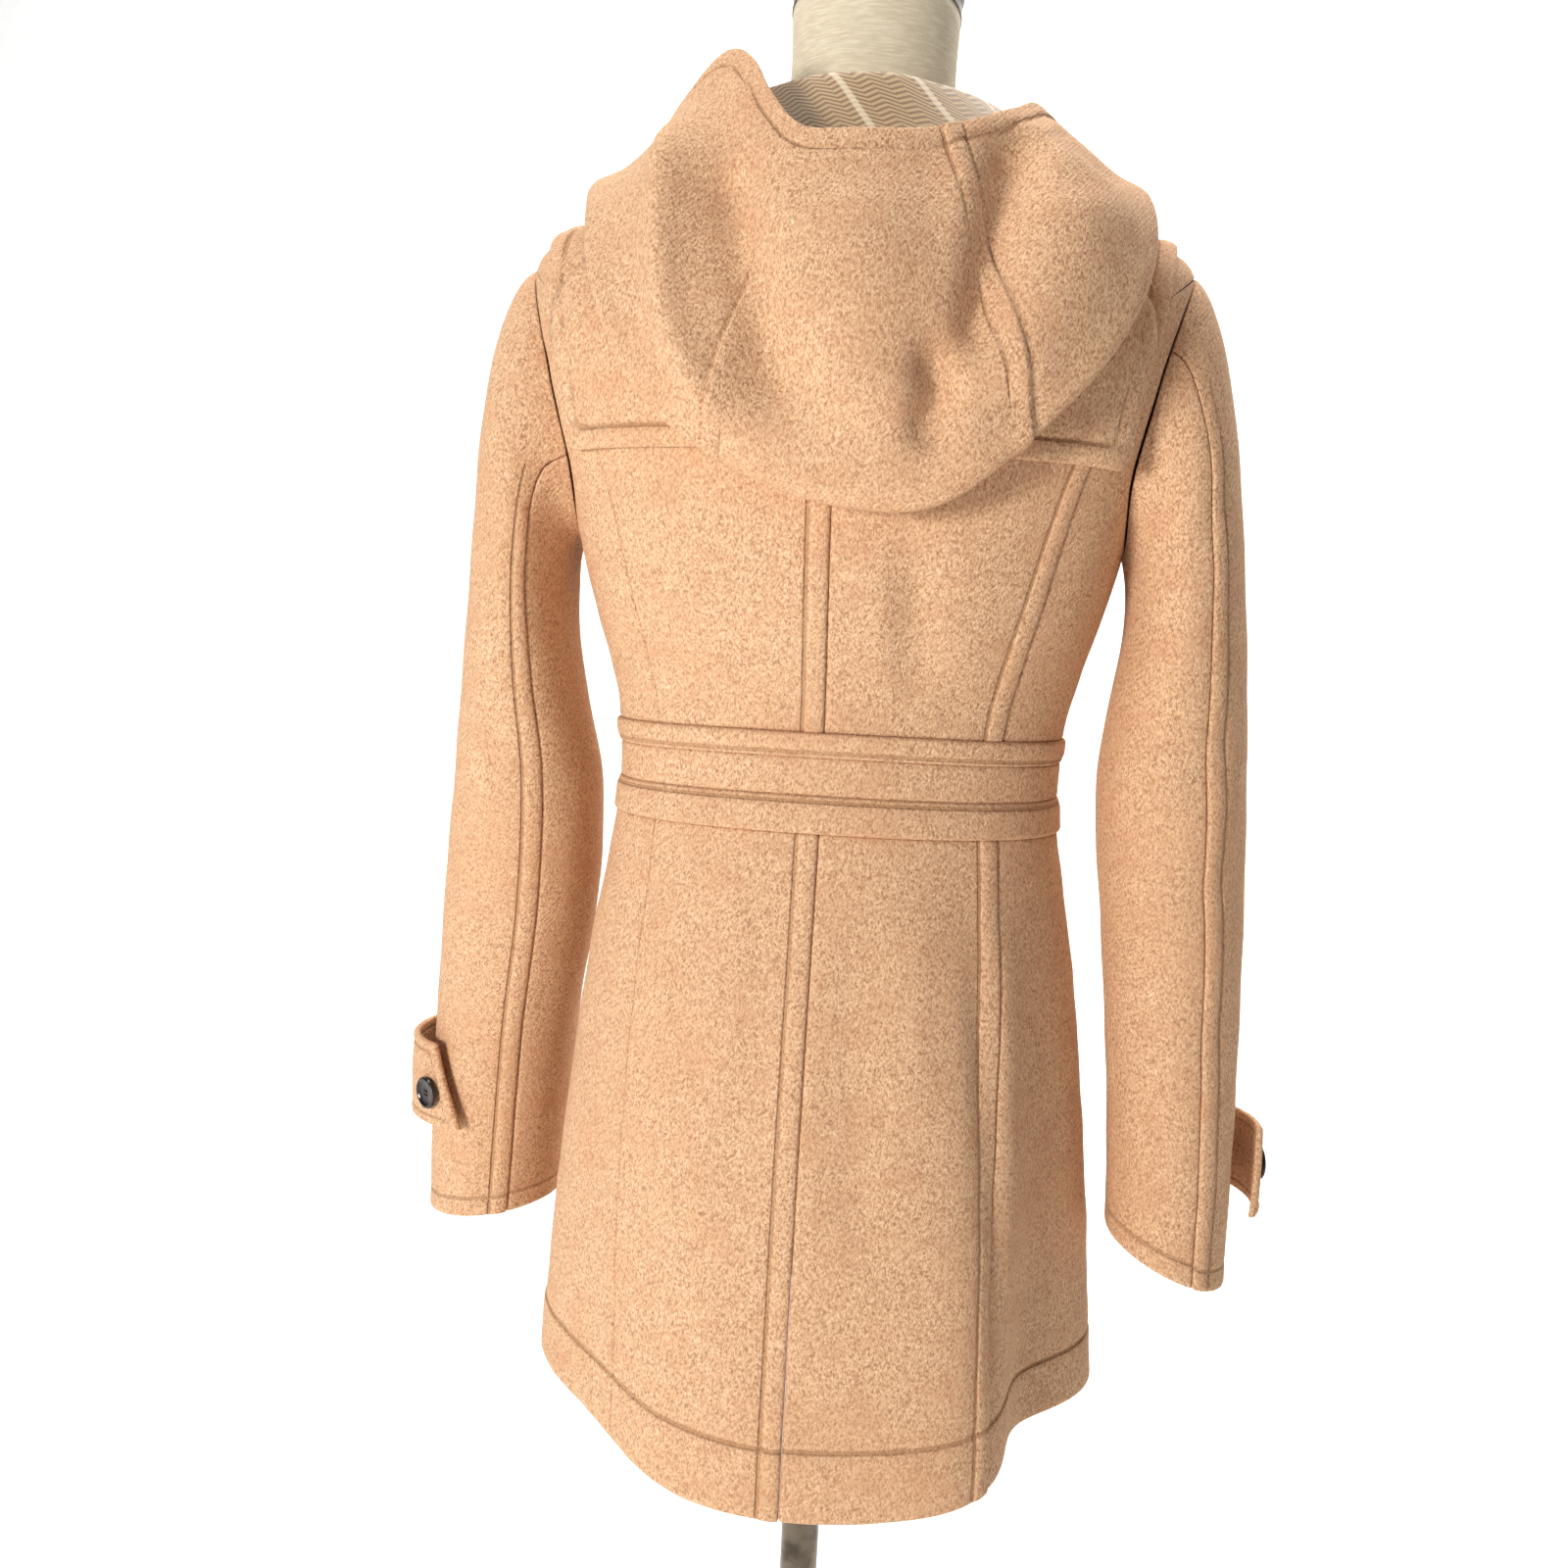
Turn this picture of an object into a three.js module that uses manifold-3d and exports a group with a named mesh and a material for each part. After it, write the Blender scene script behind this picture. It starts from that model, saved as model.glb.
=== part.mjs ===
// A women's wool duffle coat, worn by a limbless dress form on a low round-based stand.
// Millimetres, +Z up. The floor is z = 0, the stand's pole is the Z axis, and the coat's front faces -Y,
// so the wearer's left is +X. Cloth pieces are thin walls on shared surfaces, with a small gap at each seam.
import * as THREE from "three";
import { mergeVertices } from "three/addons/utils/BufferGeometryUtils.js";
import Module from "manifold-3d";

const wasm = await Module();
wasm.setup();

// Driving dimensions
const WALL = 3; // heavy melton wool
const LINING = 1.2;
const GAP = 0.3; // between pieces that touch
const WELT = 14; // topstitched seam allowance
const WELT_RISE = 1.2;
const WELT_EDGE = 1.2; // width of the slope along a welt
const WAIST_WELT = 17; // the padded strips along the waistband
const WAIST_WELT_RISE = 2.6;
const HEM_TURN = 38; // height of the turned-up hem
const HEM_RISE = 0.8;
const FRONT_LAP = 36; // each front runs this far past the centre line
const LAP_RISE = WALL + 2 * GAP + 1.4; // the right front lies over the left one by this much
const YOKE_OUT = 1.7; // underside of the yoke above the bodice
const BUTTON = [
  { r: 8.5, z: 0 },
  { r: 11.5, z: 1.2 },
  { r: 11.5, z: 3.2 },
  { r: 9.6, z: 4 },
  { r: 8, z: 3 },
];
const FORM_CLEARANCE = 1.6; // between the form's shoulders and the cloth that rests on them

const COLOURS = {
  wool: { color: 0xc39a6c, roughness: 0.95, metalness: 0 },
  lining: { color: 0x9c8460, roughness: 0.7, metalness: 0 },
  horn: { color: 0x2a1c14, roughness: 0.35, metalness: 0 },
  cord: { color: 0x6b4a2c, roughness: 0.8, metalness: 0 },
  linen: { color: 0xd8cdb6, roughness: 0.9, metalness: 0 },
  metal: { color: 0x8d867a, roughness: 0.35, metalness: 0.8 },
};

const DEG = Math.PI / 180;
const coat = new THREE.Group();
coat.name = "duffle_coat_on_dress_form";

function addMesh(name, finish, geometry) {
  const mesh = new THREE.Mesh(geometry, new THREE.MeshStandardMaterial(COLOURS[finish]));
  mesh.name = name;
  coat.add(mesh);
  return mesh;
}

function smoothstep(from, to, x) {
  const t = Math.min(1, Math.max(0, (x - from) / (to - from)));
  return t * t * (3 - 2 * t);
}

// A named column of a table, read at a fractional row as a smooth curve through the rows.
function readTable(table, column, row) {
  const last = table.length - 1;
  const i = Math.min(last - 1, Math.max(0, Math.floor(row)));
  const t = row - i;
  const value = (k) => table[Math.min(last, Math.max(0, k))][column];
  const [a, b, c, d] = [value(i - 1), value(i), value(i + 1), value(i + 2)];
  const slopeIn = i === 0 ? c - b : (c - a) / 2;
  const slopeOut = i + 1 === last ? c - b : (d - b) / 2;
  const t2 = t * t;
  const t3 = t2 * t;
  return (
    (2 * t3 - 3 * t2 + 1) * b + (t3 - 2 * t2 + t) * slopeIn + (3 * t2 - 2 * t3) * c + (t3 - t2) * slopeOut
  );
}

function steps(from, to, count) {
  return Array.from({ length: count + 1 }, (_, i) => from + ((to - from) * i) / count);
}

// A closed solid between an outer and an inner grid of points.
function wallGeometry(outer, inner) {
  const rows = outer.length;
  const cols = outer[0].length;
  const points = [];
  for (const p of [outer, inner].flat(2)) points.push(p.x, p.y, p.z);
  const at = (side, i, j) => side * rows * cols + i * cols + j;
  const index = [];
  const quad = (a, b, c, d) => index.push(a, b, c, a, c, d);
  const [lastRow, lastCol] = [rows - 1, cols - 1];
  for (let i = 0; i < lastRow; i++) {
    for (let j = 0; j < lastCol; j++) {
      quad(at(0, i, j), at(0, i, j + 1), at(0, i + 1, j + 1), at(0, i + 1, j));
      quad(at(1, i, j), at(1, i + 1, j), at(1, i + 1, j + 1), at(1, i, j + 1));
    }
  }
  for (let j = 0; j < lastCol; j++) {
    quad(at(0, 0, j), at(1, 0, j), at(1, 0, j + 1), at(0, 0, j + 1));
    quad(at(0, lastRow, j), at(0, lastRow, j + 1), at(1, lastRow, j + 1), at(1, lastRow, j));
  }
  for (let i = 0; i < lastRow; i++) {
    quad(at(0, i, 0), at(0, i + 1, 0), at(1, i + 1, 0), at(1, i, 0));
    quad(at(0, i, lastCol), at(1, i, lastCol), at(1, i + 1, lastCol), at(0, i + 1, lastCol));
  }
  return facingOut(points, index);
}

// A closed solid through a stack of rings, with a fan of triangles on each end.
function ringSolid(rings) {
  const cols = rings[0].length;
  const points = [];
  for (const p of rings.flat()) points.push(p.x, p.y, p.z);
  const index = [];
  for (let i = 0; i < rings.length - 1; i++) {
    for (let j = 0; j < cols; j++) {
      const k = (j + 1) % cols;
      const [a, b] = [i * cols, (i + 1) * cols];
      index.push(a + j, a + k, b + k, a + j, b + k, b + j);
    }
  }
  const cap = (ring, first, flip) => {
    const centre = ring.reduce((sum, p) => sum.add(p), new THREE.Vector3()).divideScalar(cols);
    const middle = points.length / 3;
    points.push(centre.x, centre.y, centre.z);
    for (let j = 0; j < cols; j++) {
      const [a, b] = [first + j, first + ((j + 1) % cols)];
      index.push(...(flip ? [middle, b, a] : [middle, a, b]));
    }
  };
  cap(rings[0], 0, true);
  cap(rings[rings.length - 1], (rings.length - 1) * cols, false);
  return facingOut(points, index);
}

// The geometry with its faces turned out, whichever way its grid ran.
function facingOut(points, index) {
  let volume = 0;
  const p = (k) => new THREE.Vector3(points[3 * k], points[3 * k + 1], points[3 * k + 2]);
  for (let i = 0; i < index.length; i += 3) {
    volume += p(index[i]).dot(p(index[i + 1]).cross(p(index[i + 2])));
  }
  if (volume < 0) index.reverse();
  return new THREE.BufferGeometry()
    .setAttribute("position", new THREE.Float32BufferAttribute(points, 3))
    .setIndex(index);
}

function toSolid(geometry) {
  const bare = geometry.clone();
  bare.deleteAttribute("normal");
  bare.deleteAttribute("uv");
  const merged = mergeVertices(bare, 1e-4);
  return new wasm.Manifold(
    new wasm.Mesh({
      numProp: 3,
      vertProperties: new Float32Array(merged.attributes.position.array),
      triVerts: new Uint32Array(merged.index.array),
    }),
  );
}

// The largest body of a solid, back as a geometry.
function fromSolid(solid) {
  const bodies = solid.decompose();
  const main = bodies.reduce((best, body) => (body.volume() > best.volume() ? body : best), bodies[0]);
  const mesh = main.getMesh();
  return new THREE.BufferGeometry()
    .setAttribute("position", new THREE.BufferAttribute(new Float32Array(mesh.vertProperties), 3))
    .setIndex(new THREE.BufferAttribute(new Uint32Array(mesh.triVerts), 1));
}

// The body of the coat: closed sections from the neckline down to the hem. A section's height differs at
// its back, side and front, so that the upper ones lie on the shoulders. square is its corner exponent.
const SECTIONS = [
  { half: 70, back: 62, front: 66, zBack: 1224, zSide: 1226, zFront: 1165, square: 2.0 }, // neckline
  { half: 112, back: 100, front: 92, zBack: 1190, zSide: 1213, zFront: 1130, square: 2.0 },
  { half: 160, back: 121, front: 112, zBack: 1142, zSide: 1196, zFront: 1095, square: 2.1 },
  { half: 204, back: 130, front: 122, zBack: 1085, zSide: 1177, zFront: 1062, square: 2.3 }, // shoulder tip
  { half: 201, back: 130, front: 128, zBack: 1045, zSide: 1115, zFront: 1030, square: 2.4 },
  { half: 183, back: 126, front: 131, zBack: 1003, zSide: 1045, zFront: 1003, square: 2.3 },
  { half: 168, back: 119, front: 125, zBack: 965, zSide: 975, zFront: 965, square: 2.2 }, // underarm
  { half: 153, back: 110, front: 113, zBack: 925, zSide: 925, zFront: 925, square: 2.15 },
  { half: 145, back: 106, front: 105, zBack: 889, zSide: 885, zFront: 885, square: 2.1 }, // waistband, top
  { half: 145, back: 108, front: 106, zBack: 829, zSide: 826, zFront: 826, square: 2.1 }, // waistband, bottom
  { half: 161, back: 126, front: 120, zBack: 720, zSide: 722, zFront: 722, square: 2.1 },
  { half: 175, back: 143, front: 134, zBack: 580, zSide: 584, zFront: 584, square: 2.1 },
  { half: 183, back: 152, front: 142, zBack: 418, zSide: 453, zFront: 440, square: 2.1 }, // hem
];
const WAIST_TOP = 8;
const WAIST_BOTTOM = 9;
const HEM = 12;

// Flutes of the skirt: angle from the centre back towards the wearer's left, width, and depth at the hem.
const FLUTES = [
  { angle: -60, width: 11, depth: -26 },
  { angle: -36, width: 12, depth: 10 },
  { angle: -93, width: 12, depth: 9 },
  { angle: 24, width: 16, depth: 4 },
  { angle: 46, width: 15, depth: -15 },
  { angle: 82, width: 12, depth: 3 },
  { angle: 118, width: 12, depth: -8 },
  { angle: 148, width: 12, depth: 5 },
  { angle: -120, width: 12, depth: -8 },
  { angle: -146, width: 12, depth: 5 },
];

// How far the skirt swings out of its plain section.
function fluteAt(theta, v) {
  if (v <= WAIST_BOTTOM) return 0;
  const growth = ((v - WAIST_BOTTOM) / (HEM - WAIST_BOTTOM)) ** 1.3;
  let out = 0;
  for (const { angle, width, depth } of FLUTES) {
    let turn = theta / DEG - angle;
    turn -= 360 * Math.round(turn / 360);
    out += depth * Math.exp(-((turn / width) ** 2) / 2);
  }
  return out * growth;
}

// A point of the body's surface: theta from the centre back towards the wearer's left, v down the sections.
function bodySurface(theta, v) {
  const read = (column) => readTable(SECTIONS, column, v);
  const [s, c] = [Math.sin(theta), Math.cos(theta)];
  const n = read("square");
  const round = (Math.abs(s) ** n + Math.abs(c) ** n) ** (-1 / n);
  const flute = fluteAt(theta, v);
  const depth = c > 0 ? read("back") : read("front");
  const zEnd = c > 0 ? read("zBack") : read("zFront");
  const zSide = read("zSide");
  return new THREE.Vector3(
    (read("half") + flute) * s * round,
    (depth + flute) * c * round,
    zSide + (zEnd - zSide) * c * c,
  );
}

const NUDGE = 1e-3;

// The same point moved out along the surface's normal.
function bodyPoint(theta, v, out = 0) {
  const p = bodySurface(theta, v);
  const along = bodySurface(theta + NUDGE, v).sub(bodySurface(theta - NUDGE, v));
  const vLow = Math.max(0, v - NUDGE);
  const vHigh = Math.min(HEM, v + NUDGE);
  const down = bodySurface(theta, vHigh).sub(bodySurface(theta, vLow));
  return p.addScaledVector(along.cross(down).normalize(), out);
}

// Millimetres of surface for one radian of theta, and for one step of v.
function perRadian(theta, v) {
  return bodySurface(theta + NUDGE, v).distanceTo(bodySurface(theta - NUDGE, v)) / (2 * NUDGE);
}

function perSection(theta, v) {
  const low = Math.max(0, v - NUDGE);
  const high = Math.min(HEM, v + NUDGE);
  return bodySurface(theta, high).distanceTo(bodySurface(theta, low)) / (high - low);
}

// The angle past the centre front where a front's edge lies.
function frontEdge(v) {
  const half = readTable(SECTIONS, "half", v);
  return Math.PI + Math.asin(FRONT_LAP / half);
}

const PRINCESS = 46 * DEG;
const PRINCESS_HEM = 41 * DEG;
const SIDE_SEAM = 95 * DEG;

function princessSeam(v) {
  return v <= WAIST_BOTTOM
    ? PRINCESS
    : PRINCESS + ((PRINCESS_HEM - PRINCESS) * (v - WAIST_BOTTOM)) / (HEM - WAIST_BOTTOM);
}

// The right front lies over the left one near the centre front.
function lapRise(theta, v) {
  const p = bodySurface(theta, v);
  return p.y < 0 ? LAP_RISE * smoothstep(-FRONT_LAP - 74, -FRONT_LAP - 12, p.x) : 0;
}

// One cloth panel of the body. side is +1 for the wearer's left. from and to give its seams' angles at a
// section. weltFrom and weltTo raise a topstitched strip along that seam.
function bodyPanel({ side, rows, from, to, count, weltFrom = 0, weltTo = 0, riseAt, weltStart = 0 }) {
  const [outer, inner] = [[], []];
  const x = (theta, v) => bodySurface(theta, v).x;
  rows.forEach((v0, i) => {
    const inset = GAP / 2 / perSection(90 * DEG, v0);
    const v = i === 0 && v0 > 0 ? v0 + inset : i === rows.length - 1 && v0 < HEM ? v0 - inset : v0;
    const start = from(v) + GAP / 2 / perRadian(from(v), v);
    const end = to(v) - GAP / 2 / perRadian(to(v), v);
    const weltStep = WELT_EDGE / perRadian(start, v);
    const columns = [];
    const [w0, w1] = [weltFrom / perRadian(start, v), weltTo / perRadian(end, v)];
    if (weltFrom) columns.push([start, 1], [start + w0 - weltStep, 1]);
    const [innerStart, innerEnd] = [weltFrom ? start + w0 : start, weltTo ? end - w1 : end];
    steps(innerStart, innerEnd, count).forEach((theta) => columns.push([theta, 0]));
    if (weltTo) columns.push([end - w1 + weltStep, 1], [end, 1]);
    const weltHere = smoothstep(weltStart - 0.2, weltStart + 0.1, v);
    const extra = riseAt ? riseAt(v) : 0;
    const place = ([theta, welt], below) => {
      const lift = side < 0 ? lapRise(side * theta, v) : 0;
      const lapped = side > 0 && theta > SIDE_SEAM;
      const underLap = lapped ? smoothstep(FRONT_LAP + 12, FRONT_LAP + 2, x(theta, v)) : 0;
      const raised = extra * (1 - underLap) + welt * WELT_RISE * weltHere;
      return bodyPoint(side * theta, v, lift + (below ? -WALL : raised));
    };
    outer.push(columns.map((column) => place(column, false)));
    inner.push(columns.map((column) => place(column, true)));
  });
  return wallGeometry(outer, inner);
}

// Sleeves: rings through an outer and an inner edge of the arm, from inside the armhole down to the cuff.
const SLEEVE_LEFT = [
  { outX: 176, outZ: 1176, inX: 158, inZ: 1010, y: 2, depth: 58 },
  { outX: 202, outZ: 1173, inX: 168, inZ: 1002, y: 2, depth: 64 },
  { outX: 219, outZ: 1160, inX: 177, inZ: 996, y: 2, depth: 66 },
  { outX: 233, outZ: 1120, inX: 181, inZ: 984, y: 2, depth: 66 },
  { outX: 241, outZ: 1070, inX: 182, inZ: 966, y: 2, depth: 65 },
  { outX: 246, outZ: 1010, inX: 181, inZ: 938, y: 1, depth: 63 },
  { outX: 253, outZ: 930, inX: 174, inZ: 895, y: -4, depth: 60 },
  { outX: 263, outZ: 850, inX: 164, inZ: 838, y: -16, depth: 58 },
  { outX: 276, outZ: 755, inX: 169, inZ: 755, y: -36, depth: 56 },
  { outX: 288, outZ: 650, inX: 186, inZ: 656, y: -56, depth: 53 },
  { outX: 296, outZ: 508, inX: 200, inZ: 522, y: -72, depth: 52 },
];
const SLEEVE_RIGHT = [
  { outX: 176, outZ: 1180, inX: 154, inZ: 1018, y: 2, depth: 58 },
  { outX: 199, outZ: 1177, inX: 164, inZ: 1011, y: 2, depth: 64 },
  { outX: 215, outZ: 1162, inX: 172, inZ: 1005, y: 3, depth: 66 },
  { outX: 229, outZ: 1122, inX: 176, inZ: 993, y: 4, depth: 66 },
  { outX: 239, outZ: 1072, inX: 178, inZ: 973, y: 5, depth: 65 },
  { outX: 247, outZ: 1012, inX: 177, inZ: 942, y: 6, depth: 63 },
  { outX: 256, outZ: 930, inX: 170, inZ: 895, y: 6, depth: 60 },
  { outX: 262, outZ: 850, inX: 168, inZ: 842, y: 5, depth: 57 },
  { outX: 267, outZ: 755, inX: 178, inZ: 757, y: 4, depth: 54 },
  { outX: 271, outZ: 650, inX: 188, inZ: 660, y: 2, depth: 52 },
  { outX: 273, outZ: 532, inX: 194, inZ: 562, y: 0, depth: 50 },
];
const CUFF = SLEEVE_LEFT.length - 1;

// A point of a sleeve. turn runs round the ring from its outer edge towards the back, s down the rings.
function sleeveSurface(side, turn, s) {
  const table = side > 0 ? SLEEVE_LEFT : SLEEVE_RIGHT;
  const read = (column) => readTable(table, column, s);
  const [c, b] = [Math.cos(turn), Math.sin(turn)];
  const mid = (1 + c) / 2;
  return new THREE.Vector3(
    side * (read("inX") + (read("outX") - read("inX")) * mid),
    read("y") + read("depth") * b,
    read("inZ") + (read("outZ") - read("inZ")) * mid,
  );
}

function sleevePoint(side, turn, s, out = 0) {
  const p = sleeveSurface(side, turn, s);
  const along = sleeveSurface(side, turn + NUDGE, s).sub(sleeveSurface(side, turn - NUDGE, s));
  const low = Math.max(0, s - NUDGE);
  const high = Math.min(CUFF, s + NUDGE);
  const down = sleeveSurface(side, turn, high).sub(sleeveSurface(side, turn, low));
  return p.addScaledVector(along.cross(down).normalize(), -side * out);
}

const BACK_SEAM = { left: 118 * DEG, right: 70 * DEG }; // the back seam of each sleeve
const FORE_SEAM = { left: 275 * DEG, right: 235 * DEG };
const CUFF_TURN = CUFF - 0.13;
const SLEEVE_ROWS = [
  0, 1, 2, 2.7, 3.4, 4.2, 5.2, 6.2, 7.2, 8.2, 9, CUFF_TURN - 0.01, CUFF_TURN + 0.01, CUFF,
];

// One cloth panel of a sleeve, between two turns. A welted one has a raised strip along its last seam.
function sleevePanel(side, from, to, count, welted) {
  const [outer, inner] = [[], []];
  for (const s of SLEEVE_ROWS) {
    const perTurn = sleeveSurface(side, to + NUDGE, s).distanceTo(sleeveSurface(side, to, s)) / NUDGE;
    const [a, b] = [from + GAP / 2 / perTurn, to - GAP / 2 / perTurn];
    const columns = [];
    steps(a, welted ? b - WELT / perTurn : b, count).forEach((turn) => columns.push([turn, 0]));
    if (welted) columns.push([b - (WELT - WELT_EDGE) / perTurn, 1], [b, 1]);
    const cuff = s > CUFF_TURN ? HEM_RISE : 0;
    const weltHere = smoothstep(3.2, 4, s);
    const rise = (welt) => cuff + welt * WELT_RISE * weltHere;
    outer.push(columns.map(([turn, welt]) => sleevePoint(side, turn, s, rise(welt))));
    inner.push(columns.map(([turn]) => sleevePoint(side, turn, s, -WALL)));
  }
  return wallGeometry(outer, inner);
}

function sleeveCore(side, out, lastRow) {
  const rows = SLEEVE_ROWS.filter((s) => s <= lastRow);
  return ringSolid(
    rows.map((s) => steps(0, 360 * DEG, 48).slice(0, 48).map((turn) => sleevePoint(side, turn, s, out))),
  );
}

function bodyCore(out, firstRow, lastRow) {
  const rows = steps(firstRow, lastRow, Math.round((lastRow - firstRow) * 2));
  return ringSolid(
    rows.map((v) => steps(0, 360 * DEG, 48).slice(0, 48).map((theta) => bodyPoint(theta, v, out))),
  );
}

const sleevePlugs = [1, -1].map((side) => toSolid(sleeveCore(side, 2 * GAP, 6)));
const bodyInside = toSolid(bodyCore(-WALL, 0, WAIST_TOP));

function withArmholes(geometry) {
  return fromSolid(sleevePlugs.reduce((solid, plug) => solid.subtract(plug), toSolid(geometry)));
}

const BODICE_ROWS = [0, 0.8, 1.6, 2.3, 2.9, 3.4, 4, 4.6, 5.3, 6, 7, WAIST_TOP];
const HEM_LINE = HEM - HEM_TURN / 165;
const SKIRT_ROWS = [WAIST_BOTTOM, 9.5, 10, 10.6, 11.2, HEM_LINE - 0.01, HEM_LINE + 0.01, HEM];
const YOKE_SHOWN = 4.1; // welts start below the yoke

function addBodyPanels() {
  const centre = () => 0;
  const side = () => SIDE_SEAM;
  const hemRise = (v) => (v > HEM_LINE ? HEM_RISE : 0);
  for (const [name, sign] of [["left", 1], ["right", -1]]) {
    const weltFrom = sign > 0 ? WELT : 0;
    const bodice = { side: sign, rows: BODICE_ROWS, weltStart: YOKE_SHOWN };
    const skirt = { side: sign, rows: SKIRT_ROWS, riseAt: hemRise };
    const back = { from: centre, to: princessSeam, count: 5, weltFrom, weltTo: WELT };
    const sideBack = { from: princessSeam, to: side, count: 5 };
    const front = { from: side, to: frontEdge, count: 9 };
    addMesh(`back_${name}`, "wool", withArmholes(bodyPanel({ ...bodice, ...back })));
    addMesh(`side_back_${name}`, "wool", withArmholes(bodyPanel({ ...bodice, ...sideBack })));
    addMesh(`front_${name}`, "wool", withArmholes(bodyPanel({ ...bodice, ...front })));
    addMesh(`skirt_back_${name}`, "wool", bodyPanel({ ...skirt, ...back }));
    addMesh(`skirt_side_${name}`, "wool", bodyPanel({ ...skirt, ...sideBack }));
    addMesh(`skirt_front_${name}`, "wool", bodyPanel({ ...skirt, ...front }));
  }
}

// The waistband: a flat band between two padded strips, each cut as a left and a right half.
function addWaistband() {
  const height = perSection(0, (WAIST_TOP + WAIST_BOTTOM) / 2);
  const strip = WAIST_WELT / height;
  const [high, low] = [WAIST_TOP + strip, WAIST_BOTTOM - strip];
  const bands = [
    { name: "waist_strip_upper", rows: [WAIST_TOP, (WAIST_TOP + high) / 2, high], raised: true },
    { name: "waistband", rows: [high, low], raised: false },
    { name: "waist_strip_lower", rows: [low, (low + WAIST_BOTTOM) / 2, WAIST_BOTTOM], raised: true },
  ];
  for (const { name, rows, raised } of bands) {
    for (const [end, side] of [["left", 1], ["right", -1]]) {
      const middle = (rows[0] + rows[rows.length - 1]) / 2;
      const half = (rows[rows.length - 1] - rows[0]) / 2;
      const fall = (v) => 1 - 0.55 * (Math.abs(v - middle) / half) ** 2;
      const riseAt = (v) => (raised ? WAIST_WELT_RISE * fall(v) : 0);
      const geometry = bodyPanel({ side, rows, from: () => 0, to: frontEdge, count: 13, riseAt });
      addMesh(`${name}_${end}`, "wool", geometry);
    }
  }
}

// The yoke: a cape piece over the shoulders, lying on the bodice. It is cut from a shell on the bodice's own
// grid, so that the two nest, and has a raised, topstitched strip round its free edge.
const YOKE = {
  topHalf: 192, lowHalf: 162, topZ: 1190, backZ: 1051, frontZ: 1076, frontHalf: 58, depth: 160,
};
const YOKE_ROWS = [0.22, 0.8, 1.6, 2.3, 2.9, 3.4, 4, 4.6];

// A block with leaning sides that keeps what lies inside the yoke's outline.
function yokeBlock(inset) {
  const lean = (YOKE.topHalf - YOKE.lowHalf) / (YOKE.topZ - YOKE.backZ);
  const halfAt = (z) => YOKE.lowHalf + (z - YOKE.backZ) * lean - inset;
  const high = YOKE.topZ + 80;
  const ring = (x0, x1, y0, y1, z) => [
    new THREE.Vector3(x0, y0, z),
    new THREE.Vector3(x1, y0, z),
    new THREE.Vector3(x1, y1, z),
    new THREE.Vector3(x0, y1, z),
  ];
  const back = [YOKE.backZ + inset, high].map((z) => ring(-halfAt(z), halfAt(z), 0, YOKE.depth, z));
  const front = [YOKE.frontZ + inset, high].map((z) => ring(-halfAt(z), halfAt(z), -YOKE.depth, 0.01, z));
  const open = YOKE.frontHalf + inset;
  const notch = [YOKE.frontZ - 10, high].map((z) => ring(-open, open, -YOKE.depth - 1, -1, z));
  return toSolid(ringSolid(back)).add(toSolid(ringSolid(front)).subtract(toSolid(ringSolid(notch))));
}

function yokeShell(from, to) {
  const columns = [];
  for (const side of [-1, 1]) {
    const half = bodiceColumns().map((theta) => side * theta);
    columns.push(...(side < 0 ? half.reverse() : half.slice(1)));
  }
  const place = (theta, v, out) => bodyPoint(theta, v, out + lapRise(theta, v));
  const grid = (out) => YOKE_ROWS.map((v) => columns.map((theta) => place(theta, v, out)));
  return toSolid(wallGeometry(grid(to), grid(from)));
}

// The angles of the bodice's columns, from the centre back round to the front.
function bodiceColumns() {
  const back = steps(0, PRINCESS, 5);
  const side = steps(PRINCESS, SIDE_SEAM, 5).slice(1);
  const front = steps(SIDE_SEAM, frontEdge(2), 9).slice(1, 8);
  return [...back, ...side, ...front];
}

function addYoke() {
  addMesh("yoke", "wool", fromSolid(yokeShell(YOKE_OUT, YOKE_OUT + WALL).intersect(yokeBlock(0))));
}

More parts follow.
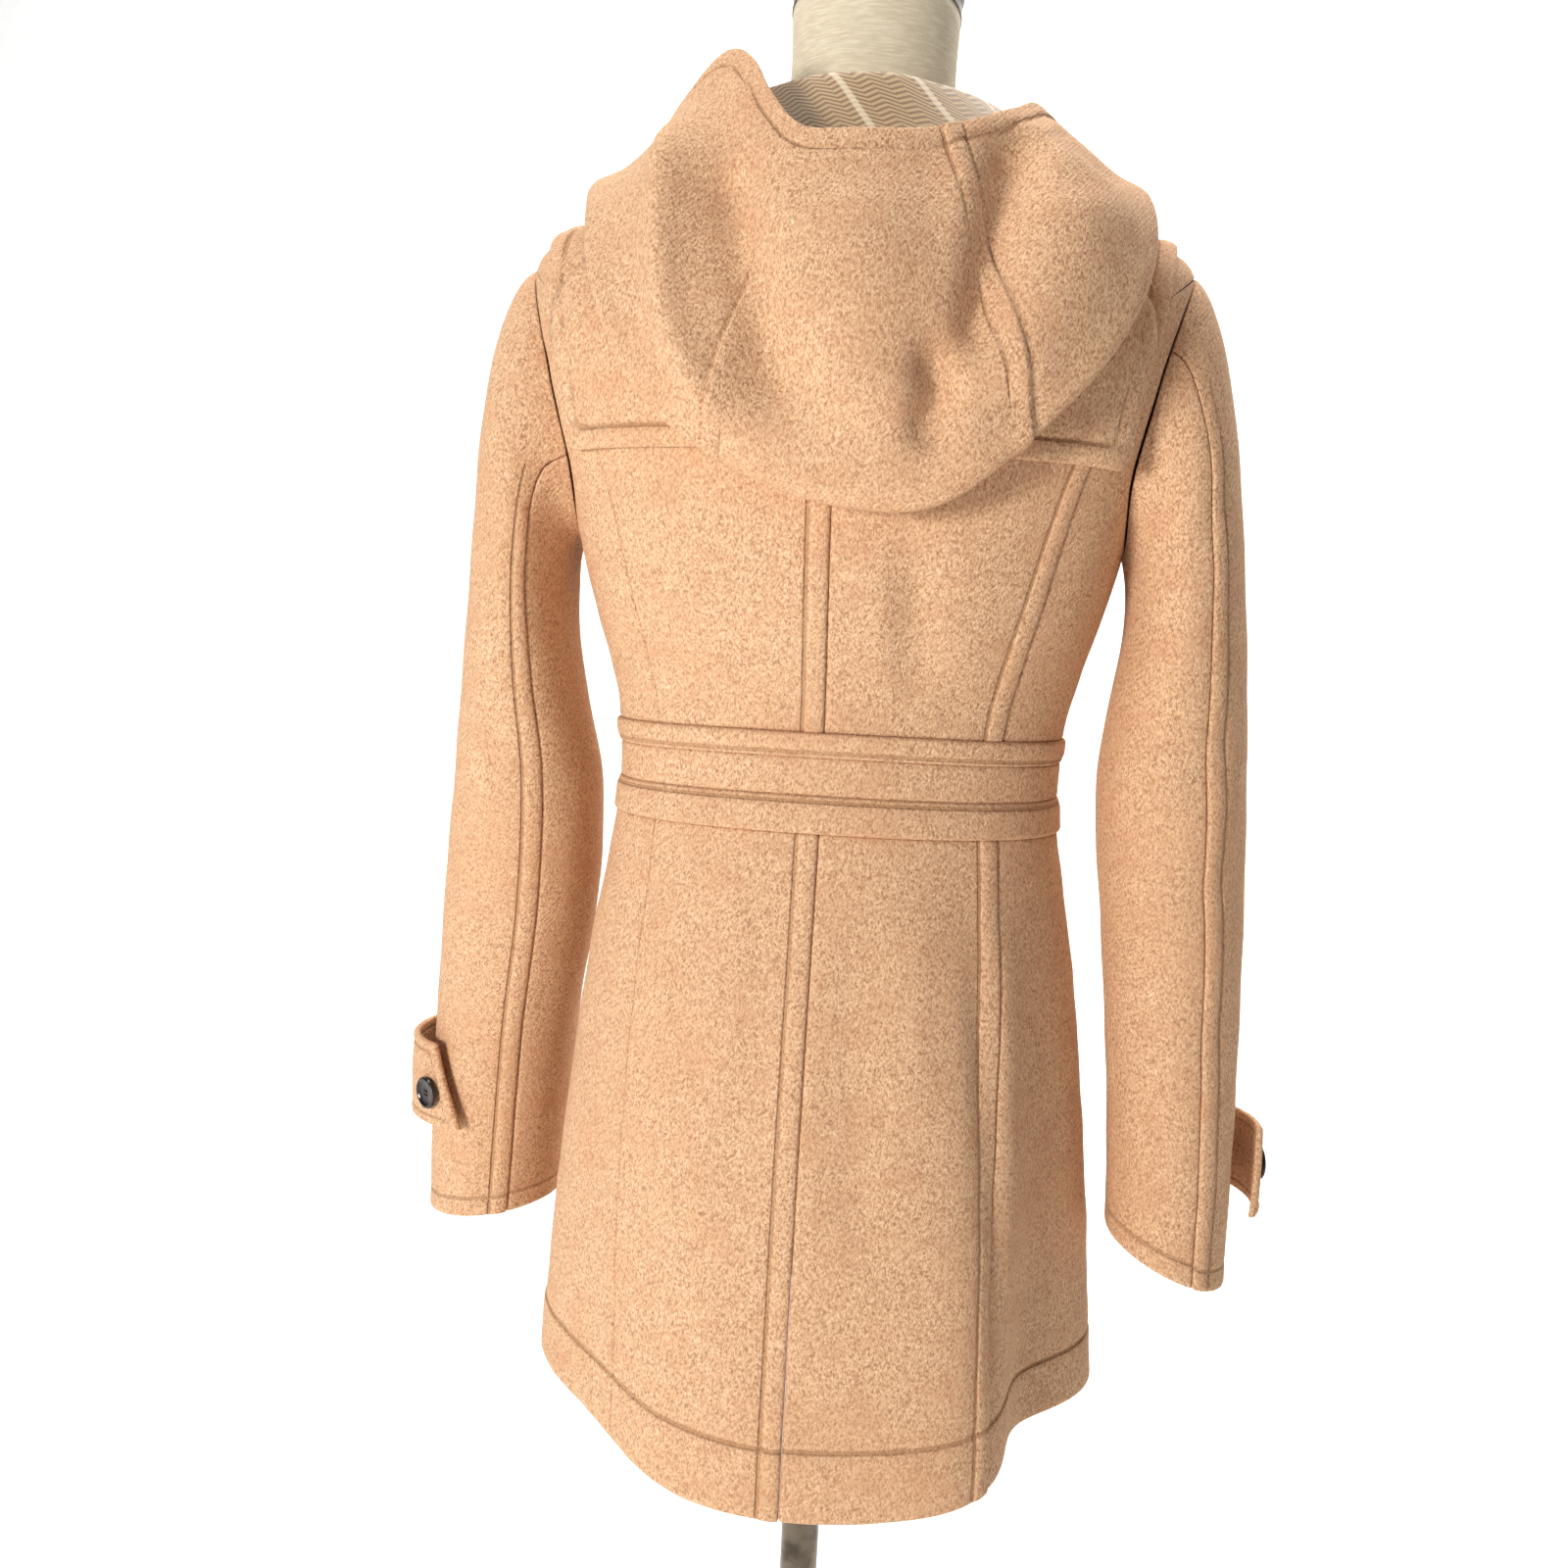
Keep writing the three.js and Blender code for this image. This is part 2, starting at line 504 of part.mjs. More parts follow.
// The hood, thrown back: one cloth from the neck seam over a low stand, down on the yoke, round the bottom and
// up to the rim. Each row is one strip of it. neck, low and rim are the strip's angles at its seam, its bottom
// and its free edge. reach is the body section it goes down to, and bulge swells its outer layer.
const HOOD = [
  { neck: -150, low: -150, reach: 1.2, stand: 16, turn: 9, bulge: 0, rim: -149, rimR: 104, rimZ: 1180 },
  { neck: -125, low: -125, reach: 1.5, stand: 26, turn: 9, bulge: 0, rim: -124, rimR: 110, rimZ: 1216 },
  { neck: -100, low: -99, reach: 1.75, stand: 34, turn: 9, bulge: 0, rim: -98, rimR: 117, rimZ: 1244 },
  { neck: -80, low: -79, reach: 2.0, stand: 38, turn: 9, bulge: -4, rim: -76, rimR: 118, rimZ: 1253 },
  { neck: -62, low: -62, reach: 2.35, stand: 38, turn: 10, bulge: 0, rim: -58, rimR: 120, rimZ: 1259 },
  { neck: -45, low: -47, reach: 2.85, stand: 39, turn: 11, bulge: 12, rim: -45, rimR: 126, rimZ: 1249 },
  { neck: -30, low: -33, reach: 3.5, stand: 40, turn: 12, bulge: 16, rim: -30, rimR: 134, rimZ: 1234 },
  { neck: -15, low: -18, reach: 4.3, stand: 41, turn: 12, bulge: 20, rim: -17, rimR: 139, rimZ: 1225 },
  { neck: 0, low: -3, reach: 4.3, stand: 41, turn: 12, bulge: 20, rim: -2, rimR: 141, rimZ: 1222 },
  { neck: 15, low: 13, reach: 4.0, stand: 41, turn: 12, bulge: 18, rim: 10, rimR: 140, rimZ: 1224 },
  { neck: 30, low: 26, reach: 3.5, stand: 40, turn: 12, bulge: 15, rim: 20, rimR: 128, rimZ: 1245 },
  { neck: 45, low: 38, reach: 2.8, stand: 39, turn: 11, bulge: 10, rim: 31, rimR: 115, rimZ: 1271 },
  { neck: 60, low: 54, reach: 2.25, stand: 38, turn: 10, bulge: -4, rim: 44, rimR: 111, rimZ: 1281 },
  { neck: 78, low: 72, reach: 1.95, stand: 38, turn: 9, bulge: -8, rim: 66, rimR: 114, rimZ: 1266 },
  { neck: 100, low: 97, reach: 1.75, stand: 34, turn: 9, bulge: -3, rim: 94, rimR: 115, rimZ: 1244 },
  { neck: 125, low: 125, reach: 1.5, stand: 26, turn: 9, bulge: 0, rim: 124, rimR: 110, rimZ: 1216 },
  { neck: 150, low: 150, reach: 1.2, stand: 16, turn: 9, bulge: 0, rim: 149, rimR: 104, rimZ: 1180 },
];
const HOOD_END = HOOD.length - 1;
const HOOD_ON_YOKE = 11.5; // middle of the hood's lower layer above the bodice

// The hood's section at one strip: control points from the neck seam to the rim.
function hoodSection(u) {
  const read = (column) => readTable(HOOD, column, u);
  const [neckAngle, lowAngle, rimAngle] = [read("neck") * DEG, read("low") * DEG, read("rim") * DEG];
  const neck = bodyPoint(neckAngle, 0, lapRise(neckAngle, 0));
  const flat = new THREE.Vector3(neck.x, neck.y, 0).normalize();
  const from = (p, out, up) => p.clone().addScaledVector(flat, out).setZ(p.z + up);
  const reach = read("reach");
  const stand = read("stand");
  const spot = (share) => [neckAngle + (lowAngle - neckAngle) * share, reach * share];
  const lie = (share, above = 0) => {
    const [theta, v] = spot(share);
    return bodyPoint(theta, v, HOOD_ON_YOKE + lapRise(theta, v) + above);
  };
  const bottom = lie(1);
  const outward = bodyPoint(lowAngle, reach, 1).sub(bodyPoint(lowAngle, reach, 0));
  const onward = bodySurface(lowAngle, reach + NUDGE).sub(bodySurface(lowAngle, reach)).normalize();
  const rim = new THREE.Vector3(Math.sin(rimAngle), Math.cos(rimAngle), 0).multiplyScalar(read("rimR"));
  rim.setZ(read("rimZ"));
  const turn = read("turn");
  const turned = (along, up) =>
    bottom.clone().addScaledVector(onward, turn * along).addScaledVector(outward, turn * up);
  const fromTurn = turned(0.2, 1.75);
  const outer = (share) =>
    fromTurn.clone().lerp(rim, share).addScaledVector(outward, read("bulge") * Math.sin(Math.PI * share));
  return [
    from(neck, 2.4, 0.9),
    from(neck, 3, stand * 0.55),
    from(neck, 7, stand - 3),
    from(neck, 14, stand),
    from(neck, 21, stand - 6),
    lie(0.45, stand * 0.12),
    lie(0.75),
    bottom,
    turned(0.85, 0.8),
    fromTurn,
    outer(0.3),
    outer(0.6),
    outer(0.85),
    rim,
  ];
}

function hoodSurface(u, w) {
  const section = hoodSection(u).map(({ x, y, z }) => ({ x, y, z }));
  return new THREE.Vector3(...["x", "y", "z"].map((axis) => readTable(section, axis, w)));
}

const HOOD_RIM = 13;

function hoodPoint(u, w, out) {
  const clampU = (x) => Math.min(HOOD_END, Math.max(0, x));
  const clampW = (x) => Math.min(HOOD_RIM, Math.max(0, x));
  const step = 0.02;
  const along = hoodSurface(clampU(u + step), w).sub(hoodSurface(clampU(u - step), w));
  const down = hoodSurface(u, clampW(w + step)).sub(hoodSurface(u, clampW(w - step)));
  return hoodSurface(u, w).addScaledVector(along.cross(down).normalize(), out);
}

const HOOD_ROWS = [0, 1, 2, 3, 4, 5, 6, 7, 8, 9, 10, 11, 12, HOOD_RIM];

function hoodLayer(rows, columns, from, to) {
  const grid = (out) => rows.map((w) => columns.map((u) => hoodPoint(u, w, out)));
  return wallGeometry(grid(to), grid(from));
}

function addHood() {
  addMesh("hood", "wool", hoodLayer(HOOD_ROWS, steps(0, HOOD_END, 22), -WALL / 2, WALL / 2));
}

// The hood's lining, a thin cloth inside the hood.
function addHoodLining() {
  const near = WALL / 2 + GAP;
  addMesh("hood_lining", "lining", hoodLayer(HOOD_ROWS, steps(0, HOOD_END, 22), near, near + LINING));
}

// Sleeves in two pieces each: the upper one runs over the outside of the arm, the under one along the body.
function addSleeves() {
  for (const [name, side] of [["left", 1], ["right", -1]]) {
    const backSeam = BACK_SEAM[name];
    const foreSeam = FORE_SEAM[name];
    const full = 360 * DEG;
    addMesh(`sleeve_${name}_under`, "wool", outsideBody(sleevePanel(side, backSeam, foreSeam, 7, false)));
    const upper = sleevePanel(side, foreSeam, backSeam + full, 10, true);
    addMesh(`sleeve_${name}_upper`, "wool", outsideBody(upper));
  }
}

function outsideBody(geometry) {
  return fromSolid(toSolid(geometry).subtract(bodyInside));
}

// The dress form: shoulders that carry the coat, a waist and hips that stay clear of it, cut off flat below.
// inset is its surface's depth below the coat's outer surface.
const FORM_UPPER = [
  { v: 0.15, inset: 2.4 },
  { v: 0.8, inset: 1.4 },
  { v: 1.6, inset: 0 },
  { v: 2.3, inset: 0 },
  { v: 2.9, inset: 0 },
  { v: 3.4, inset: 1 },
  { v: 4, inset: 2 },
  { v: 4.6, inset: 4 },
  { v: 5.3, inset: 8 },
  { v: 6, inset: 14 },
  { v: 7, inset: 19 },
  { v: WAIST_TOP, inset: 23 },
  { v: WAIST_BOTTOM, inset: 22 },
];
const FORM_HIPS = [
  { half: 134, back: 98, front: 94, z: 770 },
  { half: 144, back: 108, front: 100, z: 715 },
  { half: 147, back: 110, front: 100, z: 652 },
  { half: 144, back: 107, front: 97, z: 649 },
];
const FORM_ARM = 174; // half the form's width at its arm plates
const FORM_NECK = [
  { half: 60, depth: 54, y: 0, z: 1222, tilt: 0 },
  { half: 56, depth: 52, y: -3, z: 1240, tilt: 0.1 },
  { half: 53, depth: 51, y: -7, z: 1272, tilt: 0.16 },
  { half: 52, depth: 51, y: -10, z: 1300, tilt: 0.2 },
  { half: 53, depth: 52, y: -12, z: 1330, tilt: 0.22 },
];
const FORM_TURNS = 24;

function neckRing({ half, depth, y, z, tilt }, out = 0, up = 0) {
  return steps(0, 360 * DEG, FORM_TURNS)
    .slice(0, FORM_TURNS)
    .map((theta) => {
      const dy = (depth + out) * Math.cos(theta);
      return new THREE.Vector3((half + out) * Math.sin(theta), y + dy, z + up + dy * tilt);
    });
}

function addDressForm() {
  const turns = steps(0, 360 * DEG, FORM_TURNS).slice(0, FORM_TURNS);
  const upper = FORM_UPPER.map(({ v, inset }) =>
    turns.map((theta) => {
      const p = bodyPoint(theta, v, -WALL - FORM_CLEARANCE - inset);
      return p.setX(Math.min(FORM_ARM, Math.max(-FORM_ARM, p.x)));
    }),
  );
  const hips = FORM_HIPS.map(({ half, back, front, z }) =>
    turns.map((theta) => {
      const c = Math.cos(theta);
      return new THREE.Vector3(half * Math.sin(theta), (c > 0 ? back : front) * c, z);
    }),
  );
  const neck = FORM_NECK.map((ring) => neckRing(ring)).reverse();
  addMesh("dress_form", "linen", ringSolid([...neck, ...upper, ...hips]));
  const top = FORM_NECK[FORM_NECK.length - 1];
  const band = [GAP, 14].map((up) => neckRing(top, 0.6, up));
  addMesh("neck_band", "metal", ringSolid(band));
  const cap = [
    [14 + GAP, 1.5],
    [22, -6],
    [25, -24],
  ];
  addMesh("neck_cap", "metal", ringSolid(cap.map(([up, out]) => neckRing(top, out, up))));
}

// The stand: a turned disc on the floor and a pole up to the form's flat underside.
const BASE = [
  { r: 168, z: 0 },
  { r: 170, z: 2 },
  { r: 170, z: 9 },
  { r: 166, z: 12 },
  { r: 40, z: 16 },
  { r: 24, z: 22 },
  { r: 22, z: 46 },
];
const POLE_R = 13;

function turned(profile, sides) {
  const turns = steps(0, 360 * DEG, sides).slice(0, sides);
  return ringSolid(
    profile.map(({ r, z }) => turns.map((a) => new THREE.Vector3(r * Math.cos(a), r * Math.sin(a), z))),
  );
}

function addStand() {
  const poleEnd = FORM_HIPS[FORM_HIPS.length - 1].z - GAP;
  const poleStart = BASE[BASE.length - 1].z + GAP;
  addMesh("stand_base", "metal", turned(BASE, 32));
  addMesh("stand_pole", "metal", turned([{ r: POLE_R, z: poleStart }, { r: POLE_R, z: poleEnd }], 20));
}

// A tube along points, closed at both ends.
function tube(points, radius, sides) {
  const curve = new THREE.CatmullRomCurve3(points, false, "centripetal");
  const count = Math.round(points.length * 1.5);
  const frames = curve.computeFrenetFrames(count, false);
  const rings = steps(0, 1, count).map((t, i) => {
    const centre = curve.getPointAt(t);
    return steps(0, 360 * DEG, sides)
      .slice(0, sides)
      .map((a) =>
        centre
          .clone()
          .addScaledVector(frames.normals[i], radius * Math.cos(a))
          .addScaledVector(frames.binormals[i], radius * Math.sin(a)),
      );
  });
  return ringSolid(rings);
}

// A point over the coat's front at a place across and up it, with the outward direction there.
function frontPoint(x, z, out) {
  let theta = 180 * DEG;
  let v = 5;
  for (let i = 0; i < 40; i++) {
    const p = bodySurface(theta, v);
    const perV = bodySurface(theta, v + NUDGE).z - p.z;
    v += (0.7 * (z - p.z)) / (perV / NUDGE);
    theta += (0.7 * (p.x - x)) / perRadian(theta, v);
  }
  const lift = x < FRONT_LAP + 1 ? lapRise(theta, v) : 0;
  return bodyPoint(theta, v, lift + out);
}

const CLOSINGS = [
  { z: 1036 },
  { z: 946 },
  { z: 782 },
  { z: 676 },
];
const TOGGLE = { length: 50, endR: 3.2, bodyR: 6.2, waistR: 4.6, x: 6 };
const CORD_R = 2;
const PATCH = { width: 34, height: 46, thick: 2.4, from: 50 };
const PATCH_IN = 0.6; // a patch lies this far above its front, clear of the folds of the panel

// Four closings of horn toggles and cord loops, held by stitched patches on both fronts.
function addClosings() {
  CLOSINGS.forEach(({ z }, i) => {
    const name = (piece) => `${piece}_${i + 1}`;
    for (const [end, side] of [["left", 1], ["right", -1]]) {
      const rows = steps(z - PATCH.height / 2, z + PATCH.height / 2, 2);
      const across = steps(PATCH.from, PATCH.from + PATCH.width, 3).map((x) => side * x);
      const grid = (out) => rows.map((h) => across.map((x) => frontPoint(x, h, out)));
      addMesh(name(`patch_${end}`), "wool", wallGeometry(grid(PATCH_IN + PATCH.thick), grid(PATCH_IN)));
    }
    const centre = frontPoint(TOGGLE.x, z, 0);
    const over = (x, dz, up) => new THREE.Vector3(x, frontPoint(x, z + dz, 0).y - up, z + dz);
    const axis = 3 * CORD_R + TOGGLE.bodyR; // the toggle's axis above the right front
    const start = PATCH.from - GAP;
    const loop = [
      over(-start, 6, CORD_R + 1),
      over(-start + 20, 6.5, CORD_R + 1),
      over(TOGGLE.x, 7, CORD_R + 1),
      over(TOGGLE.x + 12, 6, CORD_R + 1),
      over(TOGGLE.x + 18, 0, CORD_R + 6.5),
      over(TOGGLE.x + 12, -6, CORD_R + 1),
      over(TOGGLE.x, -7, CORD_R + 1),
      over(-start + 20, -6.5, CORD_R + 1),
      over(-start, -6, CORD_R + 1),
    ];
    addMesh(name("loop"), "cord", tube(loop, CORD_R, 5));
    const reach = TOGGLE.waistR + CORD_R + 3 * GAP;
    const wrap = steps(-100, 165, 6).map((turn) => {
      const [c, s] = [Math.cos(turn * DEG), Math.sin(turn * DEG)];
      return new THREE.Vector3(TOGGLE.x - reach * c, centre.y - axis - reach * s, z);
    });
    const lead = [
      over(start, 0, CORD_R + 0.6),
      over(FRONT_LAP + 8, 0, LAP_RISE * 0.6 + CORD_R),
      over(FRONT_LAP + 2, 0, LAP_RISE + CORD_R + 0.8),
      over(TOGGLE.x + 16, 0, CORD_R + 0.9),
    ];
    addMesh(name("toggle_cord"), "cord", tube([...lead, ...wrap], CORD_R, 5));
    const profile = [
      [-1, TOGGLE.endR],
      [-0.86, TOGGLE.bodyR * 0.85],
      [-0.5, TOGGLE.bodyR],
      [-0.14, TOGGLE.waistR],
      [0.14, TOGGLE.waistR],
      [0.5, TOGGLE.bodyR],
      [0.86, TOGGLE.bodyR * 0.85],
      [1, TOGGLE.endR],
    ];
    const toggle = turned(profile.map(([t, rad]) => ({ r: rad, z: (t * TOGGLE.length) / 2 })), 10);
    const lean = frontPoint(TOGGLE.x, z + 20, 0).y - frontPoint(TOGGLE.x, z - 20, 0).y;
    toggle.rotateX(-Math.atan2(lean, 40));
    toggle.translate(centre.x, centre.y - axis, z);
    addMesh(name("toggle"), "horn", toggle);
  });
}

// Cuff straps: each is sewn on at the front of the cuff, stands off round its outside, and is held near its
// slanted end by a button.
const STRAPS = {
  left: {
    side: 1, from: -96, endTop: 52, endLow: 80, off: 11, top: 9.05, low: 9.5, button: 52, buttonRow: 9.32,
  },
  right: {
    side: -1, from: -98, endTop: 4, endLow: 24, off: 14, top: 9.1, low: 9.57, button: -12, buttonRow: 9.36,
  },
};
const STRAP_THICK = 4.4;

function strapPoint(strap, share, row, out) {
  const end = strap.endTop + (strap.endLow - strap.endTop) * row;
  const turn = strap.from + (end - strap.from) * share;
  const off = 0.4 + strap.off * smoothstep(strap.from + 6, -8, turn) * (1 - 0.45 * smoothstep(4, 60, turn));
  return sleevePoint(strap.side, turn * DEG, strap.top + (strap.low - strap.top) * row, off + out);
}

function addCuffStraps() {
  for (const [name, strap] of Object.entries(STRAPS)) {
    const rows = steps(0, 1, 3);
    const shares = steps(0, 1, 12);
    const grid = (out) => rows.map((row) => shares.map((share) => strapPoint(strap, share, row, out)));
    addMesh(`cuff_strap_${name}`, "wool", wallGeometry(grid(STRAP_THICK), grid(0)));
    const off = 0.4 + strap.off * (1 - 0.45 * smoothstep(4, 60, strap.button));
    const seat = off + STRAP_THICK;
    const at = (out) => sleevePoint(strap.side, strap.button * DEG, strap.buttonRow, seat + out);
    const button = turned(BUTTON.map(({ r: rad, z }) => ({ r: rad, z })), 14);
    const facing = at(1).sub(at(0)).normalize();
    button.applyQuaternion(new THREE.Quaternion().setFromUnitVectors(new THREE.Vector3(0, 0, 1), facing));
    const place = at(GAP);
    button.translate(place.x, place.y, place.z);
    addMesh(`cuff_button_${name}`, "horn", button);
  }
}

addBodyPanels();
addWaistband();
addYoke();
addHood();
addHoodLining();
addSleeves();
addDressForm();
addStand();
addClosings();
addCuffStraps();
export default coat;
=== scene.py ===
"""A women's camel wool duffle coat, worn by a limbless dress form, seen from behind."""

import math
from functools import partial

import bpy
import numpy as np
from mathutils import Matrix, Vector


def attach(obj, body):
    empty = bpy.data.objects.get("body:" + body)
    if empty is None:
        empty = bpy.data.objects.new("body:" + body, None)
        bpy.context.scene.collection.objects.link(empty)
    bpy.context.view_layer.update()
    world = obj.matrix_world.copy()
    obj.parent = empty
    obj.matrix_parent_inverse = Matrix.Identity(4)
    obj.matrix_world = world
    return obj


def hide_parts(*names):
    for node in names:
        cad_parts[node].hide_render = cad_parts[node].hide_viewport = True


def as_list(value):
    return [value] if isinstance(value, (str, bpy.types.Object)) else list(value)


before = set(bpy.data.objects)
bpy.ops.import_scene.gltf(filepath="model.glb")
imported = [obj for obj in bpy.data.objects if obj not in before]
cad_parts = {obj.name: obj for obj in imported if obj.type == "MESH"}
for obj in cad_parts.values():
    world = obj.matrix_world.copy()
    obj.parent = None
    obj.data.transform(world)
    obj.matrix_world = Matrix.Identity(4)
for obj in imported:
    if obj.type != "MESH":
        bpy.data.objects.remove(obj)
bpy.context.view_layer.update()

scene = bpy.context.scene

# Camera: a near view from behind, a little to the wearer's right, level with the lower back and turned down.
YAW, PITCH, ROLL = math.radians(7.0), math.radians(-7.1), math.radians(2.6)
ahead = Vector((math.sin(YAW) * math.cos(PITCH), -math.cos(YAW) * math.cos(PITCH), math.sin(PITCH)))
level = ahead.cross(Vector((0, 0, 1))).normalized()
upright = level.cross(ahead)
right = level * math.cos(ROLL) + upright * math.sin(ROLL)
up = upright * math.cos(ROLL) - level * math.sin(ROLL)
lens = bpy.data.cameras.new("camera")
lens.sensor_fit = "VERTICAL"
lens.sensor_height = 36
lens.lens = 36
lens.clip_end = 60
camera = bpy.data.objects.new("camera", lens)
facing = Matrix((right, up, -ahead)).transposed().to_4x4()
camera.matrix_world = Matrix.Translation((-0.090, 1.026, 0.973)) @ facing
scene.collection.objects.link(camera)
scene.camera = camera


# Studio: a pale paper sweep under and behind the stand, and soft light from the upper left of the view.
class Wire:
    """A socket of a material, for sums of sockets and numbers."""

    def __init__(self, finish, socket):
        self.finish = finish
        self.socket = socket

    def __add__(self, other):
        return self.finish.sum("ADD", self, other)

    def __sub__(self, other):
        return self.finish.sum("SUBTRACT", self, other)

    def __mul__(self, other):
        return self.finish.sum("MULTIPLY", self, other)

    def __truediv__(self, other):
        return self.finish.sum("DIVIDE", self, other)


class Finish:
    """A procedural material under construction."""

    def __init__(self, name):
        self.material = bpy.data.materials.new(name)
        self.material.use_nodes = True
        self.tree = self.material.node_tree
        self.tree.nodes.clear()

    def node(self, kind, settings=None, sockets=None, out=0):
        node = self.tree.nodes.new(kind)
        for key, value in (settings or {}).items():
            setattr(node, key, value)
        for key, value in (sockets or {}).items():
            if isinstance(value, Wire):
                self.tree.links.new(value.socket, node.inputs[key])
            else:
                node.inputs[key].default_value = value
        return Wire(self, node.outputs[out] if node.outputs else None)

    def sum(self, operation, a, b=0.0):
        return self.node("ShaderNodeMath", {"operation": operation}, {0: a, 1: b})

    def place(self, stretch=(1, 1, 1), turn=(0, 0, 0)):
        """The piece's own coordinates in metres, stretched and turned."""
        here = self.node("ShaderNodeTexCoord", out="Object")
        return self.node("ShaderNodeMapping", None, {"Vector": here, "Scale": stretch, "Rotation": turn})

    def marks(self):
        """The two numbers that closed_cloth keeps for each point."""
        pair = self.node("ShaderNodeUVMap", {"uv_map": "marks"})
        first = self.node("ShaderNodeSeparateXYZ", None, {0: pair})
        return pair, first, Wire(self, first.socket.node.outputs[1])

    def noise(self, scale, detail=2.0, rough=0.5, stretch=(1, 1, 1), turn=(0, 0, 0), where=None):
        return self.node("ShaderNodeTexNoise", None, {
            "Vector": where or self.place(stretch, turn), "Scale": scale, "Detail": detail, "Roughness": rough})

    def wave(self, direction, scale, distortion, detail_scale=1.0, stretch=(1, 1, 1)):
        return self.node("ShaderNodeTexWave", {"bands_direction": direction}, {
            "Vector": self.place(stretch), "Scale": scale, "Distortion": distortion, "Detail": 2.0,
            "Detail Scale": detail_scale})

    def band(self, value, low, high):
        """0 below low and 1 above high, smooth between; turned round where low is above high."""
        sockets = {"Value": value, "From Min": low, "From Max": high}
        return self.node("ShaderNodeMapRange", {"interpolation_type": "SMOOTHSTEP"}, sockets)

    def mix(self, share, a, b):
        sockets = {0: share, 6: a, 7: b}
        return self.node("ShaderNodeMix", {"data_type": "RGBA", "clamp_factor": True}, sockets, out=2)

    def bump(self, height, depth, strength):
        return self.node("ShaderNodeBump", None, {"Height": height, "Distance": depth, "Strength": strength})

    def finished(self, sockets):
        shader = self.node("ShaderNodeBsdfPrincipled", None, sockets)
        self.node("ShaderNodeOutputMaterial", None, {"Surface": shader})
        return self.material


def colour(red, green, blue):
    """A colour given as it looks on screen, 0 to 255, in the linear light the shaders use."""
    return (*(((c / 255 + 0.055) / 1.055) ** 2.4 if c > 10 else c / 3294 for c in (red, green, blue)), 1.0)


paper = Finish("pale_paper")
paper_tone = paper.mix(paper.noise(3.0, 3.0), colour(246, 246, 245), colour(249, 249, 248))
paper.finished({
    "Base Color": paper_tone, "Roughness": 0.9, "Emission Color": (1.0, 1.0, 1.0, 1.0), "Emission Strength": 0.10,
})
PAPER_SIZE, PAPER_FRONT, PAPER_HEIGHT, PAPER_CURVE = 26, -3.3, 9, 1.6
bpy.ops.object.select_all(action="DESELECT")
bpy.ops.mesh.primitive_plane_add(size=PAPER_SIZE, location=(0, PAPER_FRONT + PAPER_SIZE / 2, 0))
sweep = bpy.context.object
sweep.name = "paper_sweep"
bpy.ops.object.mode_set(mode="EDIT")
bpy.ops.mesh.select_all(action="DESELECT")
bpy.ops.object.mode_set(mode="OBJECT")
for edge in sweep.data.edges:
    edge.select = all(sweep.data.vertices[k].co.y < 0 for k in edge.vertices)
bpy.ops.object.mode_set(mode="EDIT")
bpy.ops.mesh.extrude_region_move(TRANSFORM_OT_translate={"value": (0, 0, PAPER_HEIGHT)})
bpy.ops.object.mode_set(mode="OBJECT")
curve = sweep.modifiers.new("curve", "BEVEL")
curve.width = PAPER_CURVE
curve.segments = 24
bpy.ops.object.modifier_apply(modifier="curve")
bpy.ops.object.shade_smooth()
bpy.ops.object.transform_apply()
sweep.data.materials.append(paper.material)

for name, place, target, size, power in (  # metres and watts
    ("window_light", (1.6, 2.55, 1.05), (0, 0, 0.8), 0.7, 66.0),
    ("top_light", (0.5, -0.3, 3.6), (0, 0, 0.85), 1.2, 10.0),
    ("front_light", (-1.0, -2.3, 4.0), (0, 0, 0.85), 2.0, 62.0),
    ("backdrop_light", (-0.2, -0.7, 3.4), (-0.2, -3.3, 0.7), 2.2, 88.0),
):
    lamp = bpy.data.lights.new(name, "AREA")
    lamp.size = size
    lamp.energy = power
    lamp.color = (1.0, 0.99, 0.98)
    stand = bpy.data.objects.new(name, lamp)
    aim = (Vector(target) - Vector(place)).to_track_quat("-Z", "Y").to_matrix().to_4x4()
    stand.matrix_world = Matrix.Translation(place) @ aim
    scene.collection.objects.link(stand)
world = bpy.data.worlds.new("studio")
world.use_nodes = True
world.node_tree.nodes["Background"].inputs["Color"].default_value = (0.93, 0.95, 1.0, 1.0)
world.node_tree.nodes["Background"].inputs["Strength"].default_value = 0.20
scene.world = world
scene.view_settings.view_transform = "Standard"
scene.view_settings.look = "Medium High Contrast"


# Bodice: six panels of camel wool melton, back, side back and front on each side. They are cut to the same
# closed sections as the solids and joined by lapped seams. The back seams are topstitched 13 mm from the seam.
SECTIONS = {  # millimetres, from the neckline down to the hem
    "half": (70, 112, 160, 204, 201, 183, 168, 153, 145, 145, 161, 175, 183),
    "back": (62, 100, 121, 130, 130, 126, 119, 110, 106, 108, 126, 143, 152),
    "front": (66, 92, 112, 122, 128, 131, 125, 113, 105, 106, 120, 134, 142),
    "z_back": (1224, 1190, 1142, 1085, 1045, 1003, 965, 925, 889, 829, 720, 580, 418),
    "z_side": (1226, 1213, 1196, 1177, 1115, 1045, 975, 925, 885, 826, 722, 584, 453),
    "z_front": (1165, 1130, 1095, 1062, 1030, 1003, 965, 925, 885, 826, 722, 584, 440),
    "square": (2.0, 2.0, 2.1, 2.3, 2.4, 2.3, 2.2, 2.15, 2.1, 2.1, 2.1, 2.1, 2.1),
}
WAIST_TOP, WAIST_BOTTOM, HEM = 8, 9, 12
